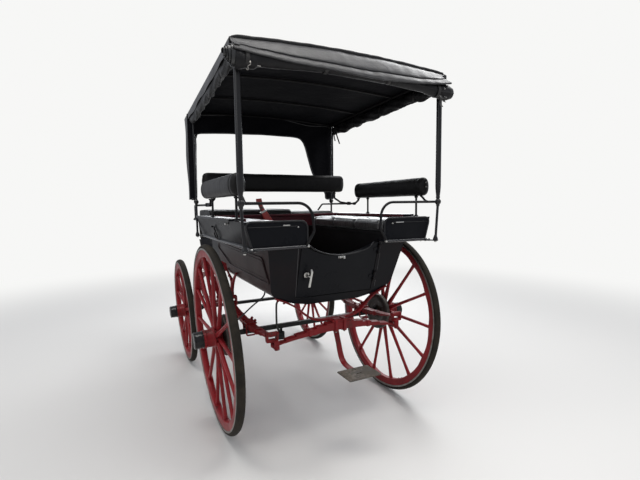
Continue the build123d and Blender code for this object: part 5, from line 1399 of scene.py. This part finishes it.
class CARRIAGE_OT_under(bpy.types.Operator):
    """Irons under the body: bowed loop, forged hangers, shackles, spring clips, brake pipe and step"""

    bl_idname = "carriage.under"
    bl_label = "Hang the undercarriage"

    def execute(self, context):
        red, black, steel = "red_iron", "black_iron", "steel_dull"
        half = [[0.392, 0.8915], [0.355, 0.877], [0.315, 0.857], [0.268, 0.829], [0.222, 0.789], [0.176, 0.753],
            [0.13, 0.7345], [0.07, 0.7268], [0.0, 0.7262]]
        flat = bend(half + [[-x, z] for x, z in half[-2::-1]], 6)
        bow = place_all(in_plane(flat, 1, 0.382))
        wide = np.interp(np.abs(flat[:, 0]), [0, 0.1, 0.25, 0.39], [1.0, 0.95, 0.78, 0.72])
        loop = carry(bow, round_box(0.044, 0.0145, 0.005, 4), (0, 0, 1), scale=wide)
        seat = block(put(-0.056, 0.362, 0.7203), put(0.056, 0.459, 0.733), 0.004)
        heads = [bolt(put(s * x, 0.382, z), (-0.25 * s, 0, -1), 0.0085, 0.006)
            for s in (-1, 1) for x, z in ((0.34, 0.8625), (0.378, 0.8795))]
        make("loop_iron", join(loop, seat, *heads), "body", red, stands_for="spring_irons")

        parts = []
        cheek = cornered([[-0.02, -0.014], [-0.008, -0.024], [0.008, -0.024], [0.02, -0.014], [0.022, 0.04],
            [0.016, 0.052], [-0.016, 0.052], [-0.022, 0.04]], 0.005, True, 3)
        for s in (-1, 1):
            parts += [forged_link(cheek, (SPRING_X + s * 0.03, -0.433, EYE_Z), 0, 0.0046),
                bolt(put(SPRING_X + s * 0.0352, -0.433, EYE_Z), (s, 0, 0), 0.0125, 0.0062)]
        parts.append(block(put(0.4045, -0.453, 0.7345), put(0.4755, -0.413, 0.76), 0.006))
        for arm, size in (([[0.44, -0.433, 0.75], [0.4385, -0.434, 0.79], [0.4345, -0.438, 0.83],
                [0.432, -0.455, 0.868], [0.432, -0.5, 0.893], [0.432, -0.56, 0.919], [0.433, -0.61, 0.9405]],
                (1.25, 1.05, 0.95, 0.62, 0.42)), ([[0.4385, -0.434, 0.79], [0.4345, -0.428, 0.835],
                [0.4325, -0.408, 0.872], [0.432, -0.37, 0.908], [0.4325, -0.33, 0.934], [0.433, -0.3, 0.9495]],
                (1.05, 0.95, 0.85, 0.58, 0.42))):
            path = bend(arm, 8)
            run = np.linspace(0, 1, len(path))
            parts.append(carry(place_all(path), round_box(0.027, 0.024, 0.006, 4), (1, 0, 0),
                scale=np.interp(run, [0, 0.2, 0.45, 0.75, 1], size)))
        for y, z in ((-0.46, 0.8765), (-0.512, 0.8985), (-0.6, 0.936), (-0.306, 0.946)):
            parts.append(bolt(put(0.4385, y, z), (1, 0, 0), 0.0092, 0.0068))
        make("spring_hangers", pair(join(*parts)), "body", red, stands_for="spring_irons")

        parts = []
        lower, lower_z = 0.4215, 0.6305
        link = cornered([[-0.015, 0.012], [-0.009, 0.015], [0.009, 0.015], [0.015, 0.012], [0.015, -0.037],
            [-0.015, -0.037]], 0.006, True, 4)
        for s in (-1, 1):
            parts += [forged_link(link, (SPRING_X + s * 0.03, SPRING_END, EYE_Z), 0),
                forged_link(link, (lower, SPRING_END + s * 0.03, lower_z), 1, down=-1),
                bolt(put(SPRING_X + s * 0.0352, SPRING_END, EYE_Z), (s, 0, 0), 0.012, 0.0062),
                bolt(put(lower, SPRING_END + s * 0.0352, lower_z), (0, s, 0), 0.012, 0.0062)]
        parts += [block(put(0.4045, 0.42, 0.659), put(0.4755, 0.45, 0.6765), 0.005),
            block(put(lower - 0.015, 0.3995, 0.656), put(lower + 0.015, 0.4705, 0.67), 0.005)]
        make("shackles", pair(join(*parts)), "body", red, stands_for="spring_shackles")

        parts = [u_bolt(0.44, y, 0.585, 0.689, 0.0295) for y in (-0.034, 0.034)]
        for y in (-0.205, 0.205):
            parts += [strap_round(put(0.44, y, 0.6578), 0.0255, 0.014, (0, 2)),
                bolt(put(0.4675, y, 0.6578), (1, 0, 0), 0.0052, 0.0045)]
        side = pair(join(*parts))
        parts = [strap_round(put(s * 0.205, 0.435, 0.68), 0.0255, 0.018, (1, 2)) for s in (-1, 1)]
        parts += [strap_round(put(s * 0.03, 0.435, 0.699), 0.027, 0.035, (1, 2), 0.006, 0.02) for s in (-1, 1)]
        make("spring_clips", join(side, *parts), "body", red)
        nuts = [bolt(put(x, 0.435 + s * 0.018, 0.661), (0, 0, -1), 0.0068, 0.006) for s in (-1, 1)
            for x in (-0.03, 0.03)]
        make("clip_nuts", join(*nuts), "body", steel)

        for side_way, hand in ((1, "left"), (-1, "right")):
            origin, axis = wheel_place(side_way, True)[:2]
            face = [[-0.084, 0.1315], [-0.0875, 0.1322], [-0.0885, 0.1305], [-0.0882, 0.118], [-0.09, 0.115],
                [-0.0915, 0.11], [-0.0912, 0.09], [-0.0895, 0.086], [-0.0885, 0.08], [-0.0885, 0.052],
                [-0.0925, 0.049], [-0.094, 0.044], [-0.094, 0.023], [-0.085, 0.023], [-0.084, 0.06]]
            parts = [lathe(face, origin, axis, 72, True)]
            for k in range(4):
                parts.append(bolt(spot_round(origin, axis, pi * (k + 0.5) / 2, 0.0365, -0.0938)[0], -axis,
                    0.0066, 0.0055))
            for angle in (0.35 * pi, 1.55 * pi):
                parts.append(lathe([[-0.001, 0.0095], [0.004, 0.0095], [0.005, 0.0085], [0.0055, 0.0006]],
                    spot_round(origin, axis, angle, 0.1, -0.0912)[0], -axis, 18))
            make(f"backplate_{hand}", join(*parts), "body", "plate_brown")

        pipe = bend([[0.19, 0.836], [0.203, 0.812], [0.226, 0.799], [0.247, 0.786], [0.256, 0.762],
            [0.2577, 0.703], [0.2577, 0.64], [0.256, 0.612], [0.248, 0.592], [0.238, 0.574]], 8)
        pipe = carry(place_all(in_plane(pipe, 1, 0.03)), circle(0.0068, 12), (0, 1, 0))
        make("brake_pipe", pipe, "body", "hose_black")
        union = [[0, 0.0095], [0.01, 0.0095], [0.012, 0.008], [0.02, 0.0078]]
        tee = join(block(put(0.205, 0.0165, 0.521), put(0.249, 0.045, 0.576), 0.005),
            block(put(0.211, 0.008, 0.534), put(0.228, 0.017, 0.596), 0.002),
            bolt(put(0.2195, 0.0165, 0.588), Y_WAY, 0.0062, 0.005),
            bolt(put(0.227, 0.045, 0.544), Y_WAY, 0.008, 0.005),
            lathe(union, put(0.237, 0.03, 0.574), (0.45, 0, 0.85), 6))
        make("pipe_tee", tee, "body", black)

        strap = bend([[0.386, 0.719], [0.3885, 0.7], [0.399, 0.672], [0.413, 0.64], [0.437, 0.584],
            [0.459, 0.528], [0.478, 0.498], [0.508, 0.477], [0.556, 0.4685], [0.62, 0.468], [0.69, 0.468]], 7)
        run = np.linspace(0, 1, len(strap))
        size = np.interp(run, [0, 0.1, 0.22, 0.36, 0.78, 0.9, 1], [1.3, 1.12, 0.88, 0.8, 0.88, 1.0, 0.8])
        iron = carry(place_all(in_plane(strap, 0, 0.005)), round_box(0.0095, 0.044, 0.003, 3), (1, 0, 0),
            scale=size)
        web = [carry(place_all(bend([[s * 0.012 + 0.005, 0.388, 0.715], [s * 0.022 + 0.005, 0.392, 0.706],
            [s * 0.045 + 0.005, 0.396, 0.7125]], 6)), circle(0.0065, 8), (0, 1, 0)) for s in (-1, 1)]
        make("step_strap", join(iron, *web), "body", red, stands_for="rear_step")
        edge = plate(cornered([[-0.1, 0.6], [0.11, 0.6], [0.11, 0.748], [-0.1, 0.748]], 0.01, True, 5), 0.4722,
            0.4782, 0.0016)
        heads = [bolt(put(0.005 + dx, y, 0.478), (0, 0, 1), 0.0066, 0.0028, 20) for dx in (-0.01, 0.01)
            for y in (0.622, 0.676)]
        make("step_plate", join(edge, *heads), "body", "step_brown", stands_for="rear_step")
        return {"FINISHED"}


class CARRIAGE_OT_front(bpy.types.Operator):
    """The fore-carriage: clips, eye bolts, ferrules, trace pins, dash frame and boot irons"""

    bl_idname = "carriage.front"
    bl_label = "Fit the fore-carriage"

    def execute(self, context):
        red, black = "red_iron", "black_iron"
        axle = -WHEELBASE
        parts = [u_bolt(0.43, axle + y, 0.459, 0.555, 0.029) for y in (-0.034, 0.034)]
        parts += [block(put(0.396, axle - 0.055, 0.5325), put(0.464, axle + 0.055, 0.5395), 0.002),
            block(put(0.396, axle - 0.055, 0.7745), put(0.464, axle + 0.055, 0.782), 0.002)]
        for y in (-0.04, 0.04):
            for x in (0.403, 0.457):
                parts += [rod([[x, axle + y, 0.77], [x, axle + y, 0.815]], 0.0052),
                    bolt(put(x, axle + y, 0.7745), (0, 0, -1), 0.0088, 0.007)]
        for y, z in ((-0.205, 0.5315), (0.205, 0.5315), (-0.205, 0.783), (0.205, 0.783)):
            parts.append(strap_round(put(0.43, axle + y, z), 0.0255, 0.0125, (0, 2)))
        for y in (-0.4235, 0.4235):
            for s in (-1, 1):
                parts.append(bolt(put(0.43 + s * 0.0225, axle + y, 0.6572), (s, 0, 0), 0.0105, 0.006))
        make("front_clips", pair(join(*parts)), "fore_carriage", red)

        y, z = -1.862, 0.814
        line = np.array([[x, y, z] for x in (-0.455, -0.45, -0.438, -0.2, 0, 0.2, 0.438, 0.45, 0.455)])
        bar = carry(place_all(line), round_box(0.048, 0.046, 0.012, 5), (0, 1, 0),
            scale=np.array([0.55, 0.8, 0.97, 1, 1, 1, 0.97, 0.8, 0.55]))
        make("splinter_wood", bar, "fore_carriage", "red_paint", stands_for="splinter_bar")
        bands = [strap_round(put(x, y, z), 0.0245, 0.025, (1, 2), 0.003, 0.03)
            for x in (-0.425, -0.34, -0.105, -0.035, 0.035, 0.105, 0.34, 0.425)]
        pins = []
        for x in (-0.385, -0.15, 0.15, 0.385):
            pins.append(lathe([[0.0, 0.0215], [0.004, 0.022], [0.007, 0.0205], [0.0085, 0.015], [0.012, 0.0128],
                [0.044, 0.0116], [0.048, 0.013], [0.05, 0.016], [0.0555, 0.0172], [0.06, 0.015], [0.0625, 0.01],
                [0.063, 0.0006]], put(x, y, 0.838), (0, 0, 1), 28))
        make("bar_ferrules", join(*bands), "fore_carriage", black)
        make("trace_pins", join(*pins), "fore_carriage", "post_black")
        bolts = []
        for x in (-0.07, 0.07):
            for yy in (-1.745, -1.61, -1.39, -1.235, -1.07):
                top = 0.9225 if yy > -1.553 else 0.9225 + (yy + 1.553) * 0.163
                if abs(yy + WHEELBASE) > 0.31:
                    spot, way = put(x, yy, top - 0.0005), (0, 0, 1)
                else:
                    spot, way = put(x + 0.0215 * np.sign(x), yy, 0.9), (x, 0, 0)
                bolts.append(bolt(spot, way, 0.0082, 0.0055))
            bolts.append(bolt(put(x, -1.862, 0.7905), (0, 0, -1), 0.0085, 0.006))
        for x in (-0.38, -0.24, 0.24, 0.38):
            for s in (-1, 1):
                bolts.append(bolt(put(x, axle + s * 0.0378, 0.868), (0, s, 0), 0.0085, 0.0055))
        make("fore_bolts", join(*bolts), "fore_carriage", black)
        plates = pair(join(block(put(0.3, axle - 0.0412, 0.846), put(0.474, axle - 0.0378, 0.892), 0.0012),
            block(put(0.3, axle + 0.0378, 0.846), put(0.474, axle + 0.0412, 0.892), 0.0012)))
        make("bed_plates", plates, "fore_carriage", red)

        turn = np.arange(8) * pi / 4 + pi / 8
        ring = [bolt(put(0.29 * cos(a), axle + 0.29 * sin(a), 0.9448), (0, 0, 1), 0.0078, 0.0048) for a in turn]
        ring.append(lathe([[0, 0.0265], [0.004, 0.027], [0.006, 0.023], [0.008, 0.0175], [0.02, 0.017],
            [0.021, 0.0125], [0.027, 0.012], [0.028, 0.0006]], put(0, axle, 0.782), (0, 0, -1), 32))
        for x in (-0.24, 0.24):
            for yy in (-0.75, -1.0, -1.26, -1.42, -1.56):
                ring.append(bolt(put(x, yy, 0.965), (x, 0, 0), 0.008, 0.0052))
        make("turntable_bolts", join(*ring), "body", black)

        slope = np.array([0, -0.08, 0.225]) / 0.2388
        face = np.array([0, -slope[2], slope[1]])
        foot = np.array([0, -1.6555, 1.112])

        def on_dash(flat, off):
            """Points (x, way up) on the leaning dash, a way off it."""
            flat = np.asarray(flat, float)
            return place_all(flat[:, :1] * X_WAY + foot + flat[:, 1:] * slope + off * face)

        rim = cornered([[-0.4255, 0.004], [-0.4255, 0.232], [0.4255, 0.232], [0.4255, 0.004]], 0.06, count=9)
        parts = [carry(on_dash(rim, 0.0), circle(0.01, 14), face),
            carry(on_dash([[-0.4255, 0.004], [0.4255, 0.004]], 0.0), circle(0.009, 12), face)]
        leather = "leather_black"
        make("dash_binding", join(*parts), "body", leather)
        seam = cornered([[-0.409, 0.02], [-0.409, 0.214], [0.409, 0.214], [0.409, 0.02]], 0.05, True, 7)
        thread = circle(0.0016, 6)
        rows = [carry(on_dash(seam, off), thread, face, True) for off in (-0.0082, 0.0082)]
        for x in (-0.14, 0.14):
            rows.append(carry(on_dash([[x, 0.02], [x, 0.214]], 0.0082), thread, face))
        make("dash_seams", join(*rows), "body", leather)
        irons = []
        for x in (-0.33, 0.33):
            line = cornered([*on_dash([[x, 0.19], [x, 0.012]], -0.013), put(x, -1.6, 1.048)], 0.025)
            irons.append(carry(line, round_box(0.008, 0.024, 0.002, 3), (1, 0, 0)))
            for spot in on_dash([[x, 0.17], [x, 0.06]], -0.017):
                irons.append(bolt(spot, -face, 0.0064, 0.0045))
        for s in (-1, 1):
            line = cornered([[s * 0.4345, -1.095, 0.995], [s * 0.4345, -1.558, 0.995],
                [s * 0.4345, -1.652, 1.101]], 0.045)
            irons.append(carry(place_all(line), round_box(0.007, 0.022, 0.002, 3), (1, 0, 0)))
            for yy in (-1.16, -1.32, -1.48):
                irons.append(bolt(put(s * 0.4378, yy, 0.995), (s, 0, 0), 0.0068, 0.0048))
        irons.append(block(put(-0.59, -1.0945, 1.3185), put(0.59, -1.0885, 1.3315), 0.002))
        make("front_irons", join(*irons), "body", black)
        return {"FINISHED"}


class CARRIAGE_OT_stage(bpy.types.Operator):
    """Sets the camera, the lamps, the world and the pale floor"""

    bl_idname = "carriage.stage"
    bl_label = "Set the stage"

    def execute(self, context):
        scene = context.scene
        lens = bpy.data.cameras.new("camera")
        lens.sensor_width = 36
        lens.lens = 22.605
        lens.clip_start = 0.05
        view = new_object("camera", lens)
        right = Vector((-0.89056, 0.45471, -0.01231))
        up = Vector((-0.05046, -0.07186, 0.99614))
        back = right.cross(up)
        turn = Matrix((right, up, back)).transposed().to_4x4()
        view.matrix_world = Matrix.Translation(Vector(put(1.2054, 2.5597, 1.4374))) @ turn
        scene.camera = view
        scene.view_settings.view_transform = "Standard"

        world = bpy.data.worlds.new("hall")
        scene.world = world
        world.use_nodes = True
        tree = world.node_tree
        for node in list(tree.nodes):
            tree.nodes.remove(node)
        path = tree.nodes.new("ShaderNodeLightPath")
        seen = combine(tree, "MAXIMUM", path.outputs["Is Camera Ray"], path.outputs["Is Transmission Ray"])
        lit = add_node(tree, "ShaderNodeBackground", {"Color": (0.9, 0.93, 1.0, 1), "Strength": 0.55})
        shown = add_node(tree, "ShaderNodeBackground", {"Color": WORLD_SEEN, "Strength": 1.0})
        mixed = add_node(tree, "ShaderNodeMixShader", None, {0: seen, 1: lit.outputs["Background"],
            2: shown.outputs["Background"]})
        out = tree.nodes.new("ShaderNodeOutputWorld")
        tree.links.new(mixed.outputs[0], out.inputs["Surface"])

        lamps = [
            # name, place, aim, size, energy, colour
            ("roof_lamp", (0.6, 0.8, 5.2), (0, -0.3, 1.0), (5.0, 1.2), 170, (1, 0.98, 0.95)),
            ("side_lamp", (4.5, 2.0, 3.2), (0, 0, 1.0), (3.0, 2.0), 20, (1, 1, 1)),
            ("strip_lamp", (-2.5, -0.1, 4.7), (0, 0.5, 2.2), (2.8, 1.3), 95, (1, 1, 1)),
            ("back_lamp", (-2.5, -4.5, 3.4), (0, 0, 1.5), (5.0, 2.5), 120, (0.95, 0.98, 1)),
            ("window_lamp", (-2.9, -4.9, 1.6), (-0.3, 0, 1.2), (3.2, 1.6), 28, (1, 1, 1)),
        ]
        for name, place, aim, size, energy, colour in lamps:
            light = bpy.data.lights.new(name, "AREA")
            light.shape = "RECTANGLE"
            light.size, light.size_y = size
            light.energy = energy
            light.color = colour
            lamp = new_object(name, light)
            lamp.visible_camera = False
            away = Vector(put(*place)) - Vector(put(*aim))
            turn = away.to_track_quat("Z", "Y").to_matrix().to_4x4()
            lamp.matrix_world = Matrix.Translation(Vector(put(*place))) @ turn

        floor_mesh = bpy.data.meshes.new("floor")
        reach = 30.0
        floor_mesh.from_pydata([(-reach, -reach, 0), (reach, -reach, 0), (reach, reach, 0), (-reach, reach, 0)],
            [], [(0, 1, 2, 3)])
        floor = new_object("floor", floor_mesh)
        pale = bpy.data.materials.new("floor_pale")
        pale.use_nodes = True
        tree = pale.node_tree
        shader = tree.nodes["Principled BSDF"]
        shader.inputs["Base Color"].default_value = (0.66, 0.65, 0.63, 1)
        shader.inputs["Roughness"].default_value = 0.6
        spot = add_node(tree, "ShaderNodeTexCoord").outputs["Object"]
        away = add_node(tree, "ShaderNodeVectorMath", None, {0: spot}, operation="LENGTH").outputs["Value"]
        fade = add_node(tree, "ShaderNodeMapRange", {"From Min": 2.2, "From Max": 7.5}, {"Value": away},
            interpolation_type="SMOOTHERSTEP").outputs["Result"]
        rays = tree.nodes.new("ShaderNodeLightPath").outputs["Is Camera Ray"]
        share = combine(tree, "MULTIPLY", fade, rays)
        far = add_node(tree, "ShaderNodeEmission", {"Color": WORLD_SEEN, "Strength": 1.0})
        mixed = add_node(tree, "ShaderNodeMixShader", None, {0: share, 1: shader.outputs["BSDF"],
            2: far.outputs["Emission"]})
        tree.links.new(mixed.outputs[0], tree.nodes["Material Output"].inputs["Surface"])
        floor_mesh.materials.append(pale)
        return {"FINISHED"}


STEPS = ["stage", "finishes", "hose", "paint_frame", "wheels", "canopy", "seats", "trim", "irons", "under",
    "front"]
CLASSES = [CarriageColours, CarriageSizes, CARRIAGE_OT_stage, CARRIAGE_OT_finishes, CARRIAGE_OT_paint_frame,
    CARRIAGE_OT_hose, CARRIAGE_OT_wheels, CARRIAGE_OT_canopy, CARRIAGE_OT_seats, CARRIAGE_OT_trim,
    CARRIAGE_OT_irons, CARRIAGE_OT_under, CARRIAGE_OT_front]


class CARRIAGE_PT_build(bpy.types.Panel):
    """Lists the carriage's steps"""

    bl_label = "Wagonette carriage"
    bl_space_type = "VIEW_3D"
    bl_region_type = "UI"
    bl_category = "Carriage"

    def draw(self, context):
        for step in STEPS:
            self.layout.operator("carriage." + step)
        for group in (context.scene.carriage_colours, context.scene.carriage_sizes):
            for key in group.bl_rna.properties.keys():
                if key not in ("rna_type", "name"):
                    self.layout.prop(group, key)


def register():
    for kind in CLASSES + [CARRIAGE_PT_build]:
        bpy.utils.register_class(kind)
    bpy.types.Scene.carriage_colours = PointerProperty(type=CarriageColours)
    bpy.types.Scene.carriage_sizes = PointerProperty(type=CarriageSizes)


def unregister():
    del bpy.types.Scene.carriage_sizes
    del bpy.types.Scene.carriage_colours
    for kind in reversed(CLASSES + [CARRIAGE_PT_build]):
        bpy.utils.unregister_class(kind)


def main():
    register()
    for step in STEPS:
        getattr(bpy.ops.carriage, step)()
    bpy.context.view_layer.update()


if __name__ == "__main__":
    main()
